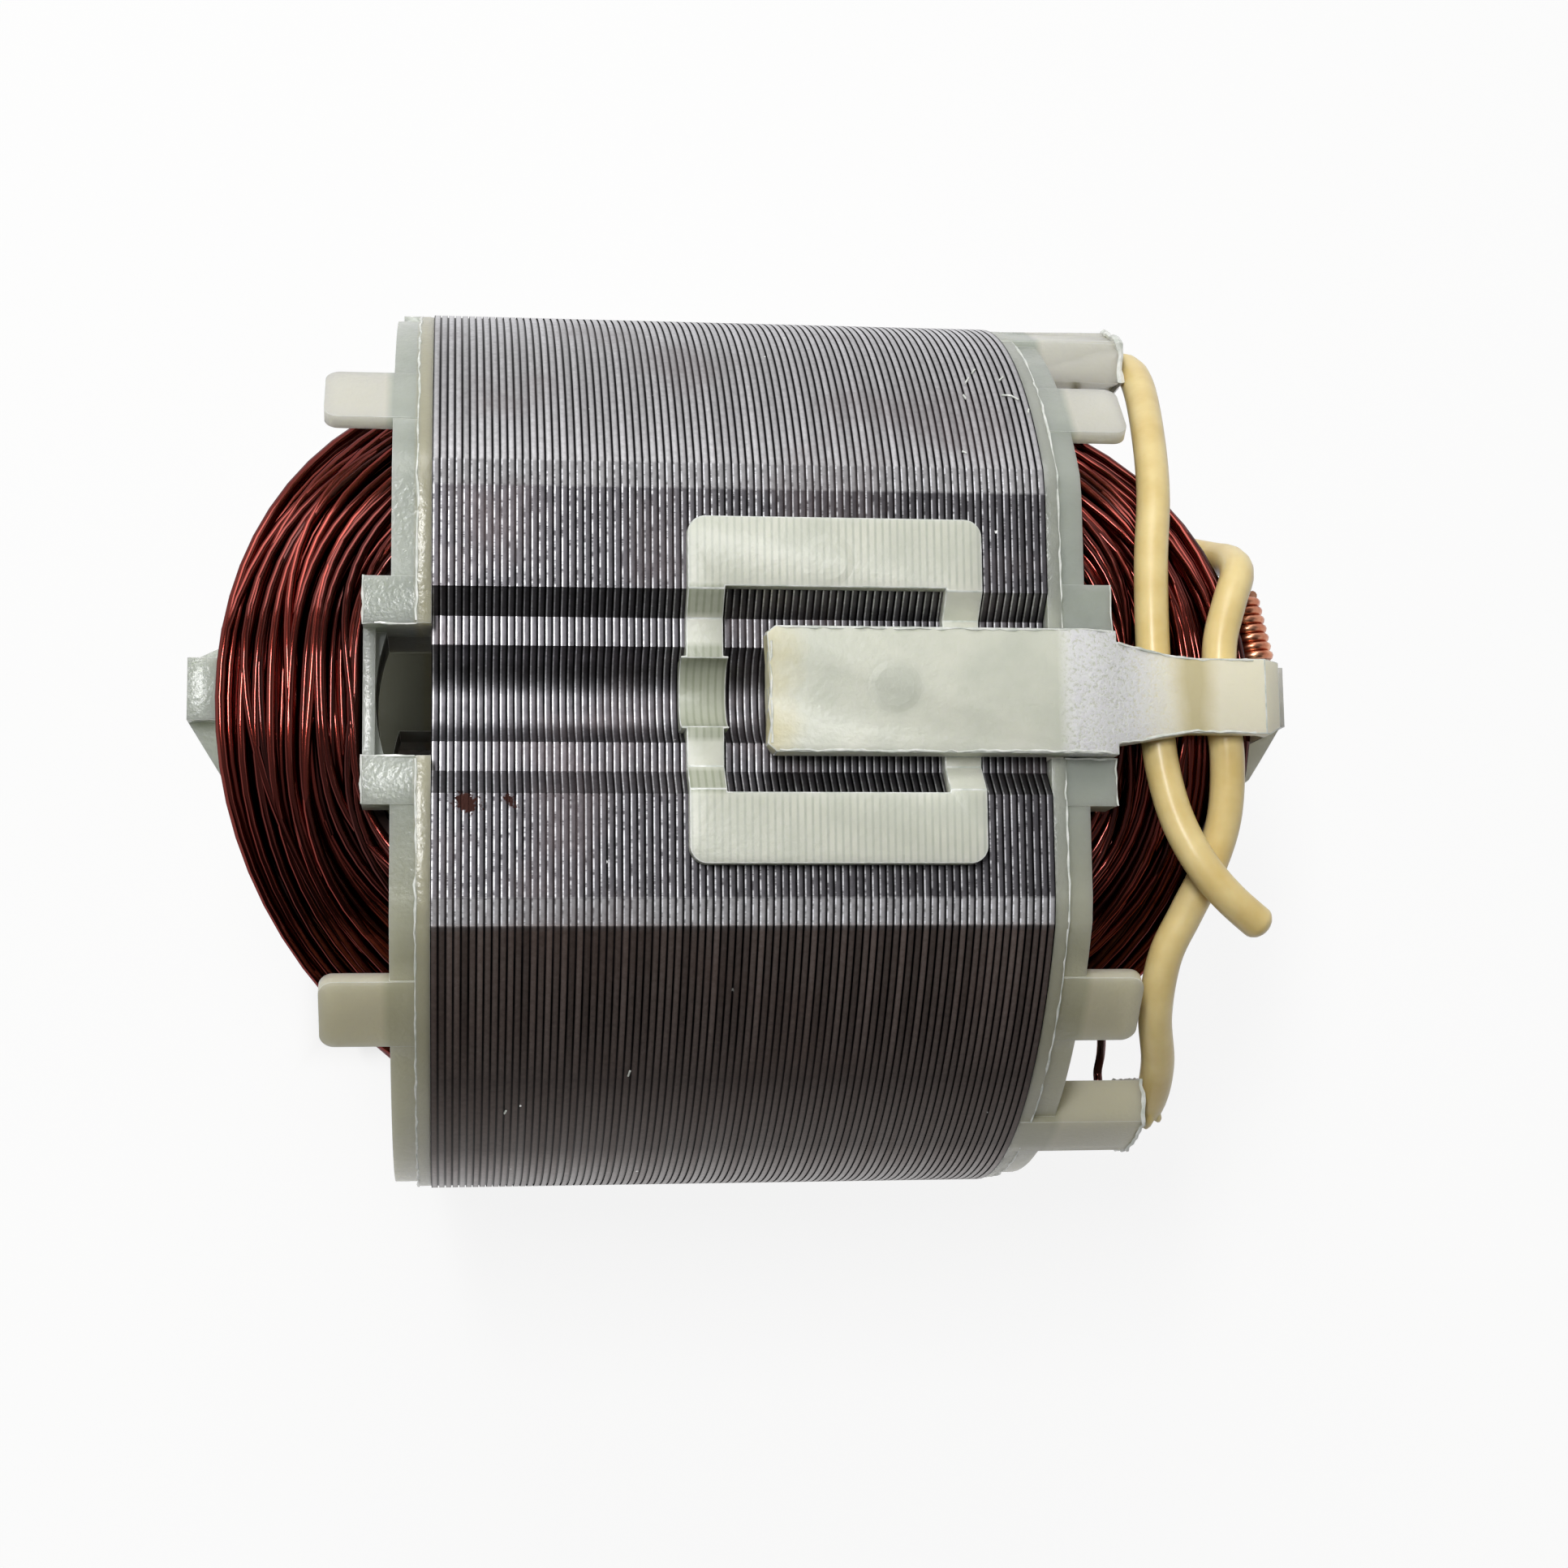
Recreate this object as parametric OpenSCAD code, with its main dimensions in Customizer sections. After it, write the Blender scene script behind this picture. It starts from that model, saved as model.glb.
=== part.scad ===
// Wound stator of a two-pole universal motor.
// A laminated core carries two field coils between two nylon end frames, and a nylon clip
// holds the leads. X is the rotor axis and points to the lead end, Z is the normal of the
// front flat, and the origin is the middle of the rotor bore.

/* [Core] */
// Number of steel sheets in the stack
sheet_count = 83; // [61:2:101]
// Pitch of the sheets
sheet_t = 0.5; // [0.4:0.05:0.6]
// Width of the dark line between two sheets
line_w = 0.12; // [0.08:0.01:0.2]
// Depth of the line between two sheets
line_d = 0.15; // [0.1:0.01:0.25]
// Outer diameter of the core
core_d = 66; // [65:0.5:72]
// Depth of each flat below the round outline
flat_drop = 3.6; // [2.6:0.1:3.8]
// Half width of each flat
flat_hw = 13.8; // [12.5:0.1:14.5]
// Slope of the narrow facet beside each flat
facet_slope = 10; // [6:1:14]

/* [Keyway in each flat] */
// Half width of the keyway at the flat
key_hw = 6.9; // [6.4:0.1:7.5]
// Depth of the keyway's ledges
key_d = 1.7; // [1.2:0.1:2]
// Half width of the round groove between the ledges
groove_hw = 3.25; // [2.8:0.05:3.6]
// Depth of the round groove below the ledges
groove_d = 2.2; // [1.6:0.1:2.4]

/* [Poles and slots] */
// Depth of the coil slots from the yoke to the pole tips
slot_d = 7.4; // [7:0.1:7.8]
// Half width of each pole neck
pole_hw = 10.5; // [9.5:0.1:11]
// Thickness of the pole tips
tip_t = 1.9; // [1.6:0.1:2]
// Reach of each pole tip from the pole's middle, in degrees
tip_angle = 60; // [54:1:64]
// Thickness of the yoke beside the slots
yoke_t = 5.2; // [4.8:0.1:5.4]
// Thickness of the slot paper
liner_t = 0.3; // [0.2:0.05:0.35]

/* [End frames] */
// Thickness of the flange against the core
flange_t = 0.95; // [0.8:0.05:1.1]
// Height of the rim above the core
rim_h = 2.65; // [2.2:0.05:3]
// Thickness of the rim
rim_t = 1.5; // [1.2:0.1:1.8]
// Height of the saddle that the coil bends round
saddle_h = 4.5; // [4:0.1:4.8]
// Height of the stop blocks beside the keyway
stop_h = 4.5; // [4.5:0.1:5.5]
// Half width of the window between the stop blocks
window_hw = 4.4; // [4.4:0.05:4.8]
// Outer half width of the stop blocks
stop_hw = 7.6; // [7:0.1:8.2]
// Height of the tabs above the core at the plain end
tab_plain = 7.3; // [6:0.1:8]
// Height of the tabs above the core at the lead end
tab_lead = 6.8; // [6:0.1:8]
// Width of the tabs
tab_w = 5.4; // [5:0.1:6.8]
// Thickness of the tabs
tab_t = 1; // [0.8:0.1:1.4]
// Place of the front tabs round the rim, in degrees from the flat's normal
tab_angle = 40.5; // [39:0.5:42]
// Place of the rear tabs round the rim, in degrees from the flat's normal
rear_tab_angle = 36.5; // [35.5:0.5:41]
// Thickness of the horn wall between coil and rotor
horn_t = 1.1; // [0.9:0.05:1.2]
// Reach of the horn past the coil at the plain end
horn_past_plain = 2.3; // [1.8:0.1:3]
// Reach of the horn past the coil at the lead end
horn_past_lead = 3.8; // [3.4:0.1:4.4]

/* [Terminal pockets] */
// Height of the pockets above the core
pocket_h = 9.1; // [8.7:0.1:10.5]
// Wall of the pockets
pocket_wall = 0.9; // [0.7:0.05:1]
// Thickness of the terminal's sheet metal
terminal_t = 0.5; // [0.35:0.05:0.6]

/* [Coils] */
// Height of the coil head above the core at the plain end
head_plain = 14.2; // [13:0.1:15]
// Height of the coil head above the core at the lead end
head_lead = 15.2; // [14.6:0.1:15.4]
// Reach of the coil side round the slot, in degrees from the pole's middle
coil_angle = 64; // [61:1:67]
// Width of one ridge of turns on the coil
turn_w = 1.4; // [1.2:0.1:2]
// Depth of the valley between two ridges
turn_d = 0.25; // [0.15:0.05:0.35]
// Diameter of the magnet wire
wire_d = 0.65; // [0.5:0.05:0.8]

/* [Lead clip] */
// Thickness of the clip's pads on the flat
pad_t = 1.2; // [1:0.1:1.4]
// Half width of the clip over both pads
clip_hw = 11.65; // [11:0.05:12.2]
// Plain-end edge of the clip
clip_x0 = -3.9; // [-5:0.1:-3]
// Lead-end edge of the clip
clip_x1 = 16; // [15:0.1:17]
// Width of the two cross bars
bar_w = 2.5; // [2:0.1:3]
// Half width of the strap
strap_hw = 4.25; // [3.6:0.05:4.3]
// Half width of the strap over the leads
tongue_hw = 2.6; // [2.2:0.1:2.6]

/* [Leads] */
// Outer diameter of the leads
lead_d = 2.4; // [2:0.1:2.4]

/* [Hidden] */
$fn = 96;

steel = "#6f6d75";
nylon = "#d5dccb";
enamel = "#6b1a14";
bare_copper = "#c47a5c";
slot_paper = "#c9b98f";
tinned = "#b9bab6";
cream = "#e8d9a4";

far = 80;
stack_l = sheet_count * sheet_t;
end_x = stack_l / 2;
core_r = core_d / 2;
flat_h = core_r - flat_drop;
yoke_r = core_r - yoke_t;
tip_r = yoke_r - slot_d;
bore_r = tip_r - tip_t;
groove_r = (groove_hw * groove_hw + groove_d * groove_d) / (2 * groove_d);
groove_z = flat_h - key_d - groove_d + groove_r;

// Each quadrant of the section, as signs of Y and Z
quadrants = [[1, 1], [-1, 1], [1, -1], [-1, -1]];

// Coil side in its slot: radii, flank and the heights of its inner turn
coil_clear = 0.1;
coil_r_out = yoke_r - liner_t - coil_clear;
coil_r_in = tip_r + liner_t + coil_clear;
coil_flank = pole_hw + liner_t;
coil_angle_in = asin((coil_flank + turn_d) / coil_r_out);
head_straight = 1.25;
head_in = saddle_h + 0.3;
saddle_r = (pole_hw * pole_hw + saddle_h * saddle_h) / (2 * saddle_h);
crown_r_out = coil_r_out - 2;
horn_r = bore_r + 0.2;
crown_r_in = horn_r + horn_t + 0.2;
head_steps = 14;

// Heights above the axis at the middle of a flat
stop_z0 = crown_r_out + 0.3;
saddle_z1 = stop_z0 + 0.3;
stop_z1 = flat_h - 0.4;
window_bar_z1 = stop_z0 + 1.5;
window_wall = 0.8;

// Terminal in the upper front quadrant and the pocket round it
pocket_angle = 67.28;
pocket_in = 2.97;
pocket_mid = at_angle(core_r - pocket_in, pocket_angle);
terminal_w = 1.8;
terminal_l = 4.4;
terminal_gap = 0.1;
pocket_y0 = pocket_mid[0] - terminal_w / 2 - terminal_gap - pocket_wall;
pocket_z0 = pocket_mid[1] - 3.6;
pocket_size = [5, 8];
pocket_r = core_r - 0.1;
pocket_floor = 2;
terminal_top = pocket_h - 0.7;
tail_slot_w = wire_d + 0.25;
tail_slot_h = 6;

// Strap levels, from its thick end over the keyway down to the foot on the horn
strap_z0 = flat_h - key_d + pad_t - 0.2;
strap_z1 = strap_z0 + 2;
strap_x0 = 1.4;
tongue_z0 = crown_r_out + lead_d + 0.2;
tongue_z1 = tongue_z0 + 1.1;
horn_pad_z = horn_r + horn_t + 1.4;
horn_tip = [-0.9, 3.4];
horn_base = [-4.5, 4.5];
crown_x = end_x + head_lead;
foot_x = crown_x + 0.25;
foot_t = 1.1;

// Sleeve of bare copper wire beside the horn
sleeve_r = 1.35;
sleeve_turns = 8;
sleeve_mid = [crown_x + 0.9, horn_base[1] + 1.5, horn_r + horn_t + 2.6];
sleeve_tilt = 12;

// Route of lead A from its terminal, over the coil and under the strap to its free end
lead_a_route = [
    lead_start(0, 1), lead_start(0.5, 1), lead_start(1.1, 1),
    [31.3, 27.6, 12.8], [31.3, 25.4, 15.8], [30.6, 20.6, 20.4],
    [29.9, 15.4, 23.8], [29, 10, 25.9], [28.7, 5, 26.7], [28.8, 0, 26.75], [29, -4, 26.75],
    [29.9, -8, 26.9], [31.4, -11.2, 27.2], [33.4, -13.6, 27], [36.2, -15.8, 26.2]
];

// Route of lead B from its terminal, under lead A and the strap, then down behind the coil
lead_b_route = [
    lead_start(0, -1), lead_start(0.5, -1), lead_start(1.1, -1),
    [31.2, -27.2, 13], [30.9, -24.6, 16.6], [29.9, -21.2, 20],
    [30.1, -17.4, 22.3], [31.4, -14.4, 23.4], [32.8, -11.4, 24.4], [33.7, -8, 25.6], [33.8, -4, 26.5],
    [33.4, 0, 26.75], [33.5, 4, 26.65], [34.4, 7, 26.2], [35.5, 9.4, 24.8], [35.9, 10.9, 22],
    [35.6, 11.8, 19], [34.5, 12.8, 16.2], [33.4, 14.2, 13], [32.8, 15, 9]
];

// Short path of a coil tail, from the coil head into the pocket's wire slot
tail_h = 7;
tail_route = [
    concat(end_x + tail_h - 1.8, at_angle(coil_r_out - 0.1, 50)),
    concat(end_x + tail_h - 0.6, at_angle(coil_r_out - 0.3, 56)),
    concat(end_x + tail_h, at_angle(coil_r_out - 0.45, 62)),
    [end_x + tail_h, pocket_y0 - 0.8, pocket_mid[1]],
    [end_x + tail_h, pocket_y0, pocket_mid[1]],
    [end_x + tail_h, pocket_mid[0] - terminal_w / 2, pocket_mid[1]]
];

function at_angle(r, angle) = [r * sin(angle), r * cos(angle)];
function lead_start(h, side) = [end_x + terminal_top + h, side * (pocket_mid[0] + 0.3), pocket_mid[1]];
function unit(v) = v / norm(v);
function carry(n, t) = unit(n - (n * t) * t);
function spline(p, i, u) =
    let (
        a = p[max(i - 1, 0)],
        b = p[i],
        c = p[i + 1],
        d = p[min(i + 2, len(p) - 1)]
    )
    0.5 * (2 * b + (c - a) * u + (2 * a - 5 * b + 4 * c - d) * u * u
        + (3 * b - a - 3 * c + d) * u * u * u);
function smooth(p, n) = concat(
    [for (i = [0 : len(p) - 2], k = [0 : n - 1]) spline(p, i, k / n)],
    [p[len(p) - 1]]
);

// Sets a plane figure of (y, z) upright and gives it a length along the rotor axis
module along_x(x0, length) {
    translate([x0, 0, 0])
        rotate([90, 0, 90])
            linear_extrude(length)
                children();
}

// Sector of the section about the flat's normal
module sector(angle) {
    polygon([[0, 0], [far * sin(angle), far * cos(angle)], [-far * sin(angle), far * cos(angle)]]);
}

// Copies a front feature to the rear pole
module both_poles() {
    children();
    mirror([0, 0, 1])
        children();
}

// Round bar with a flat and two facets on each side, reduced by an inset
module round_with_flats(inset) {
    top = flat_h - inset;
    side = core_r + 1;
    low = top - (side - flat_hw) * tan(facet_slope);
    intersection() {
        circle(r = core_r - inset);
        polygon([
            [flat_hw, top], [side, low], [side, -low], [flat_hw, -top],
            [-flat_hw, -top], [-side, -low], [-side, low], [-flat_hw, top]
        ]);
    }
}

// Keyway with sloped walls, two ledges and a round groove, widened by an inset
module keyway(inset) {
    slant = inset * (sqrt(2) - 1);
    floor_z = flat_h - key_d - inset;
    wall = key_hw - key_d + slant;
    rise = flat_h + 1 - floor_z;
    polygon([[-wall - rise, flat_h + 1], [-wall, floor_z], [wall, floor_z], [wall + rise, flat_h + 1]]);
    translate([0, groove_z])
        circle(r = groove_r + inset);
}

module core_outline(inset) {
    difference() {
        round_with_flats(inset);
        keyway(inset);
        mirror([0, 1])
            keyway(inset);
    }
}

// Space of both slots, reduced by an inset
module slot_space(inset) {
    difference() {
        circle(r = yoke_r - inset);
        square([2 * (pole_hw + inset), far], center = true);
        intersection() {
            circle(r = tip_r + inset);
            union() {
                sector(tip_angle);
                mirror([0, 1])
                    sector(tip_angle);
            }
        }
        circle(r = bore_r);
    }
}

// The stack is one pressed block, with a fine line all round between each two sheets
module lamination_stack() {
    color(steel)
        difference() {
            along_x(-end_x, stack_l)
                difference() {
                    core_outline(0);
                    circle(r = bore_r);
                    slot_space(0);
                }
            for (i = [1 : sheet_count - 1])
                along_x(-end_x + i * sheet_t - line_w / 2, line_w)
                    difference() {
                        circle(r = core_r + 1);
                        core_outline(line_d);
                    }
        }
}

// Plate with rounded corners at its free end, lying along X
module tab(height) {
    corner = 1;
    linear_extrude(tab_t)
        union() {
            translate([0, -tab_w / 2])
                square([height - corner, tab_w]);
            translate([0, -tab_w / 2 + corner])
                square([height, tab_w - 2 * corner]);
            for (s = [-1, 1])
                translate([height - corner, s * (tab_w / 2 - corner)])
                    circle(r = corner);
        }
}

// Saddle on the pole's end with stop blocks, a window bar and the horn wall behind the coil
module pole_former(head, horn_past) {
    horn_h = head + horn_past;
    foot_hw = 16.5;
    foot_h = 2.5;
    waist_hw = 11.5;
    waist_h = 7;
    neck_h = horn_h - 2.2;
    intersection() {
        translate([saddle_h - saddle_r, 0, bore_r - 4])
            cylinder(r = saddle_r, h = saddle_z1 - bore_r + 4);
        translate([0, -pole_hw, 0])
            cube([saddle_h + 1, 2 * pole_hw, far]);
    }
    for (s = [-1, 1])
        translate([0, s * (window_hw + stop_hw) / 2 - (stop_hw - window_hw) / 2, stop_z0])
            cube([stop_h, stop_hw - window_hw, stop_z1 - stop_z0]);
    translate([stop_h - window_wall, -window_hw - 0.5, stop_z0])
        cube([window_wall, 2 * window_hw + 1, window_bar_z1 - stop_z0]);
    intersection() {
        along_x(0, horn_h)
            circle(r = horn_r + horn_t);
        linear_extrude(far)
            polygon([
                [0, -foot_hw], [foot_h, -foot_hw], [waist_h, -waist_hw], [neck_h, horn_base[0]],
                [horn_h, horn_tip[0]], [horn_h, horn_tip[1]], [neck_h, horn_base[1]],
                [waist_h, waist_hw], [foot_h, foot_hw], [0, foot_hw]
            ]);
    }
    translate([head + 0.3, horn_tip[0], horn_r])
        cube([horn_past - 0.3, horn_tip[1] - horn_tip[0], horn_pad_z - horn_r]);
}

// Window in front of the pole's end, open down to the bore, with an even wall to the coil
module window() {
    intersection() {
        translate([saddle_h - saddle_r, 0, 0])
            cylinder(r = saddle_r - window_wall, h = far);
        translate([-1, -window_hw, 0])
            cube([saddle_h + 1, 2 * window_hw, far]);
    }
}

// Section of one terminal pocket, reduced by an inset
module pocket_section(inset) {
    intersection() {
        circle(r = pocket_r - inset);
        translate([pocket_y0 + inset, pocket_z0 + inset])
            square([pocket_size[0] - 2 * inset, pocket_size[1] - 2 * inset]);
    }
}

// One nylon moulding, drawn on the +X side of a core that ends at x = 0
module end_frame(head, horn_past, tab_h, pockets) {
    rim_inset = 0.5;
    lug_r = core_r + 0.35;
    tab_r = core_r - rim_inset - tab_t;
    difference() {
        union() {
            along_x(0, flange_t)
                difference() {
                    round_with_flats(0.15);
                    slot_space(liner_t);
                }
            along_x(0, rim_h)
                difference() {
                    round_with_flats(rim_inset);
                    round_with_flats(rim_inset + rim_t);
                }
            along_x(0.3, rim_h - 0.6)
                rotate(-90)
                    intersection() {
                        difference() {
                            circle(r = lug_r);
                            circle(r = core_r - 1.5);
                        }
                        sector(8);
                    }
            for (s = [-1, 1], angle = [tab_angle, 180 - rear_tab_angle])
                rotate([s * angle, 0, 0])
                    translate([0, 0, tab_r])
                        tab(tab_h);
            both_poles()
                pole_former(head, horn_past);
            if (pockets)
                for (q = quadrants)
                    along_x(0, pocket_h)
                        scale([q[0], q[1]])
                            pocket_section(0);
        }
        along_x(-1, far)
            circle(r = horn_r);
        both_poles() {
            window();
            translate([-1, -window_hw, stop_z0])
                cube([stop_h - window_wall + 1, 2 * window_hw, far]);
        }
        if (pockets)
            for (q = quadrants) {
                along_x(pocket_floor, far)
                    scale([q[0], q[1]])
                        pocket_section(pocket_wall);
                translate([tail_slot_h, q[0] * pocket_y0, q[1] * pocket_mid[1]])
                    translate([0, -pocket_wall - 0.2, -tail_slot_w / 2])
                        cube([far, 2 * pocket_wall + 0.4, tail_slot_w]);
            }
    }
}

module plain_end_frame() {
    color(nylon)
        mirror([1, 0, 0])
            translate([end_x, 0, 0])
                end_frame(head_plain, horn_past_plain, tab_plain, false);
}

module lead_end_frame() {
    color(nylon)
        translate([end_x, 0, 0])
            end_frame(head_lead, horn_past_lead, tab_lead, true);
}

// Outline of one coil side as [radius, angle], with a ridge for each few turns
function ridges(length) = max(3, round(length / turn_w));
function polar(y, z) = [norm([y, z]), atan2(y, z)];
function dip(k) = k % 2 == 0 ? turn_d : 0;
function coil_outline() =
    let (
        z_in = sqrt(coil_r_in * coil_r_in - coil_flank * coil_flank),
        z_out = sqrt(coil_r_out * coil_r_out - coil_flank * coil_flank),
        angle_low = asin(coil_flank / coil_r_in),
        flank_n = 2 * ridges(z_out - z_in),
        out_n = 2 * ridges(coil_r_out * (coil_angle - coil_angle_in) * PI / 180),
        end_n = 2 * ridges(coil_r_out - coil_r_in),
        in_n = 2 * ridges(coil_r_in * (coil_angle - angle_low) * PI / 180)
    )
    concat(
        [for (k = [0 : flank_n - 1]) polar(coil_flank + dip(k), z_in + (z_out - z_in) * k / flank_n)],
        [for (k = [0 : out_n - 1])
            [coil_r_out - dip(k), coil_angle_in + (coil_angle - coil_angle_in) * k / out_n]],
        [for (k = [0 : end_n - 1])
            [coil_r_out - (coil_r_out - coil_r_in) * k / end_n, coil_angle - dip(k) * 2.4]],
        [for (k = [0 : in_n - 1])
            [coil_r_in + dip(k), coil_angle - (coil_angle - angle_low) * k / in_n]]
    );

// Place of one outline point on the coil head, where t runs from one slot (1) to the other (-1)
function head_point(p, t, head, end) =
    let (
        lift = 1 - t * t,
        share = (p[1] - coil_angle_in) / (coil_angle - coil_angle_in),
        height = head_in + (head - head_in) * share,
        depth = (p[0] - coil_r_in) / (coil_r_out - coil_r_in),
        crown = crown_r_in + (crown_r_out - crown_r_in) * depth,
        r = p[0] + (crown - p[0]) * lift,
        angle = t * p[1]
    )
    [end * (end_x + head_straight + (height - head_straight) * lift), r * sin(angle), r * cos(angle)];

// A coil is one closed loop: over the lead end, down a slot, over the plain end and back
module field_coil() {
    outline = coil_outline();
    n = len(outline);
    turns = [for (k = [0 : head_steps]) 1 - 2 * k / head_steps];
    rings = concat(
        [for (t = turns) [for (p = outline) head_point(p, t, head_lead, 1)]],
        [for (t = turns) [for (p = outline) head_point(p, -t, head_plain, -1)]]
    );
    m = len(rings);
    polyhedron(
        points = [for (ring = rings, p = ring) p],
        faces = [
            for (j = [0 : m - 1], i = [0 : n - 1], half = [0, 1])
                let (
                    a = j * n + i,
                    b = j * n + (i + 1) % n,
                    c = ((j + 1) % m) * n + (i + 1) % n,
                    d = ((j + 1) % m) * n + i
                )
                half == 0 ? [a, b, c] : [a, c, d]
        ],
        convexity = 6
    );
}

module front_coil() {
    color(enamel)
        field_coil();
}

module rear_coil() {
    color(enamel)
        mirror([0, 0, 1])
            field_coil();
}

// Folded slot paper along one side of a pole, open towards the next coil
module slot_liner(q) {
    color(slot_paper)
        along_x(-end_x, stack_l)
            scale([q[0], q[1]])
                intersection() {
                    difference() {
                        slot_space(0);
                        slot_space(liner_t);
                        circle(r = bore_r + 0.5);
                    }
                    sector(coil_angle + 1);
                    translate([pole_hw - 1, 0])
                        square(far);
                }
}

// Folded metal splice: a channel with a slot that grips the magnet wire
module terminal(q) {
    color(tinned)
        translate([end_x + pocket_floor, q[0] * pocket_mid[0], q[1] * pocket_mid[1]])
            difference() {
                h = terminal_top - pocket_floor;
                translate([0, -terminal_w / 2, -terminal_l / 2])
                    cube([h, terminal_w, terminal_l]);
                translate([terminal_t, -terminal_w / 2 + terminal_t, -far / 2])
                    cube([h - 2 * terminal_t, terminal_w - 2 * terminal_t, far]);
            }
}

// Round wire along a route, with flat ends
module tube(route, d, sides) {
    n = len(route);
    tangents = [for (i = [0 : n - 1]) unit(route[min(i + 1, n - 1)] - route[max(i - 1, 0)])];
    normals = [
        for (i = 0, v = carry([0.3, 0.2, 1], tangents[0]); i < n;
            i = i + 1, v = i < n ? carry(v, tangents[i]) : v) v
    ];
    polyhedron(
        points = [
            for (i = [0 : n - 1], k = [0 : sides - 1])
                route[i] + d / 2 * (cos(360 * k / sides) * normals[i]
                    + sin(360 * k / sides) * cross(tangents[i], normals[i]))
        ],
        faces = concat(
            [[for (k = [0 : sides - 1]) k]],
            [
                for (i = [0 : n - 2], k = [0 : sides - 1])
                    [i * sides + k, (i + 1) * sides + k,
                        (i + 1) * sides + (k + 1) % sides, i * sides + (k + 1) % sides]
            ],
            [[for (k = [sides - 1 : -1 : 0]) (n - 1) * sides + k]]
        ),
        convexity = 6
    );
}

module coil_tail(q) {
    color(enamel)
        scale([1, q[0], q[1]])
            tube(smooth(tail_route, 2), wire_d, 8);
}

// Section of a cross bar: it follows the keyway's walls, ledges and round groove
module bar_section() {
    wall = 1.4;
    lap = 0.8;
    ledge_z = flat_h - key_d;
    top_z = flat_h + pad_t;
    hollow = key_hw - wall - key_d + pad_t;
    difference() {
        union() {
            intersection() {
                keyway(0);
                translate([-key_hw, ledge_z - groove_d])
                    square([2 * key_hw, groove_d + key_d]);
            }
            translate([-key_hw - lap, flat_h])
                square([2 * (key_hw + lap), pad_t]);
        }
        polygon([
            [-hollow, ledge_z + pad_t], [hollow, ledge_z + pad_t],
            [hollow + key_d, top_z], [hollow + key_d, top_z + 1],
            [-hollow - key_d, top_z + 1], [-hollow - key_d, top_z]
        ]);
        translate([0, groove_z])
            circle(r = groove_r - pad_t);
    }
}

// Bar across the keyway, a little wider where it dips into the groove
module cross_bar(x0) {
    bulge = 0.35;
    dip_hw = groove_hw - 0.8;
    along_x(x0, bar_w)
        bar_section();
    along_x(x0 - bulge, bar_w + 2 * bulge)
        intersection() {
            bar_section();
            translate([-dip_hw, 0])
                square([2 * dip_hw, flat_h]);
        }
}

// Side view of the strap: thick end, slope down to the tongue, and the foot on the horn
module strap_profile() {
    polygon([
        [strap_x0, strap_z0], [end_x + 1.5, strap_z0], [end_x + 6, tongue_z0],
        [foot_x - 0.8, tongue_z0], [foot_x, tongue_z0 - 0.8], [foot_x, horn_pad_z],
        [foot_x + foot_t + 1.3, horn_pad_z], [foot_x + foot_t + 1.3, horn_pad_z + 0.8],
        [foot_x + foot_t, horn_pad_z + 1.6], [foot_x + foot_t, tongue_z0 - 0.3],
        [foot_x - 0.3, tongue_z1], [end_x + 7.5, tongue_z1],
        [end_x + 2.5, strap_z1], [strap_x0, strap_z1]
    ]);
}

// Plan of the strap: wide over the keyway, stepped in past the stop blocks, narrowing to the horn
module strap_plan() {
    corner = 0.5;
    step_x = end_x + stop_h;
    step_hw = strap_hw - 0.75;
    taper_x = end_x + 9.8;
    polygon([
        [strap_x0, -strap_hw + corner], [strap_x0 + corner, -strap_hw], [step_x, -strap_hw],
        [step_x, -step_hw], [taper_x, -tongue_hw], [foot_x, -tongue_hw],
        [foot_x + 3, horn_tip[0]], [foot_x + 3, tongue_hw], [taper_x, tongue_hw],
        [step_x, step_hw], [step_x, strap_hw], [strap_x0 + corner, strap_hw],
        [strap_x0, strap_hw - corner]
    ]);
}

// Plan of the frame that lies on the flat, with rounded corners
module frame_plan() {
    corner = 1.2;
    length = clip_x1 - clip_x0;
    difference() {
        union() {
            translate([clip_x0 + corner, -clip_hw])
                square([length - 2 * corner, 2 * clip_hw]);
            translate([clip_x0, -clip_hw + corner])
                square([length, 2 * (clip_hw - corner)]);
            for (x = [clip_x0 + corner, clip_x1 - corner], s = [-1, 1])
                translate([x, s * (clip_hw - corner)])
                    circle(r = corner);
        }
        translate([clip_x0 - 1, -key_hw])
            square([length + 2, 2 * key_hw]);
    }
}

module lead_clip() {
    color(nylon)
        union() {
            translate([0, 0, flat_h])
                linear_extrude(pad_t)
                    frame_plan();
            cross_bar(clip_x0);
            cross_bar(clip_x1 - bar_w);
            intersection() {
                translate([0, far / 2, 0])
                    rotate([90, 0, 0])
                        linear_extrude(far)
                            strap_profile();
                linear_extrude(far)
                    strap_plan();
            }
        }
}

module lead_a() {
    color(cream)
        tube(smooth(lead_a_route, 2), lead_d, 8);
}

module lead_b() {
    color(cream)
        tube(smooth(lead_b_route, 2), lead_d, 8);
}

// Close-wound sleeve of bare wire, one round ridge for each turn
module wire_sleeve() {
    length = sleeve_turns * wire_d;
    color(bare_copper)
        translate(sleeve_mid)
            rotate([-90, 0, sleeve_tilt])
                rotate_extrude()
                    polygon(concat(
                        [[0, -length / 2]],
                        [for (k = [0 : 2 * sleeve_turns])
                            [sleeve_r - (k % 2 == 0 ? wire_d / 3 : 0), -length / 2 + k * wire_d / 2]],
                        [[0, length / 2]]
                    ));
}

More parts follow.
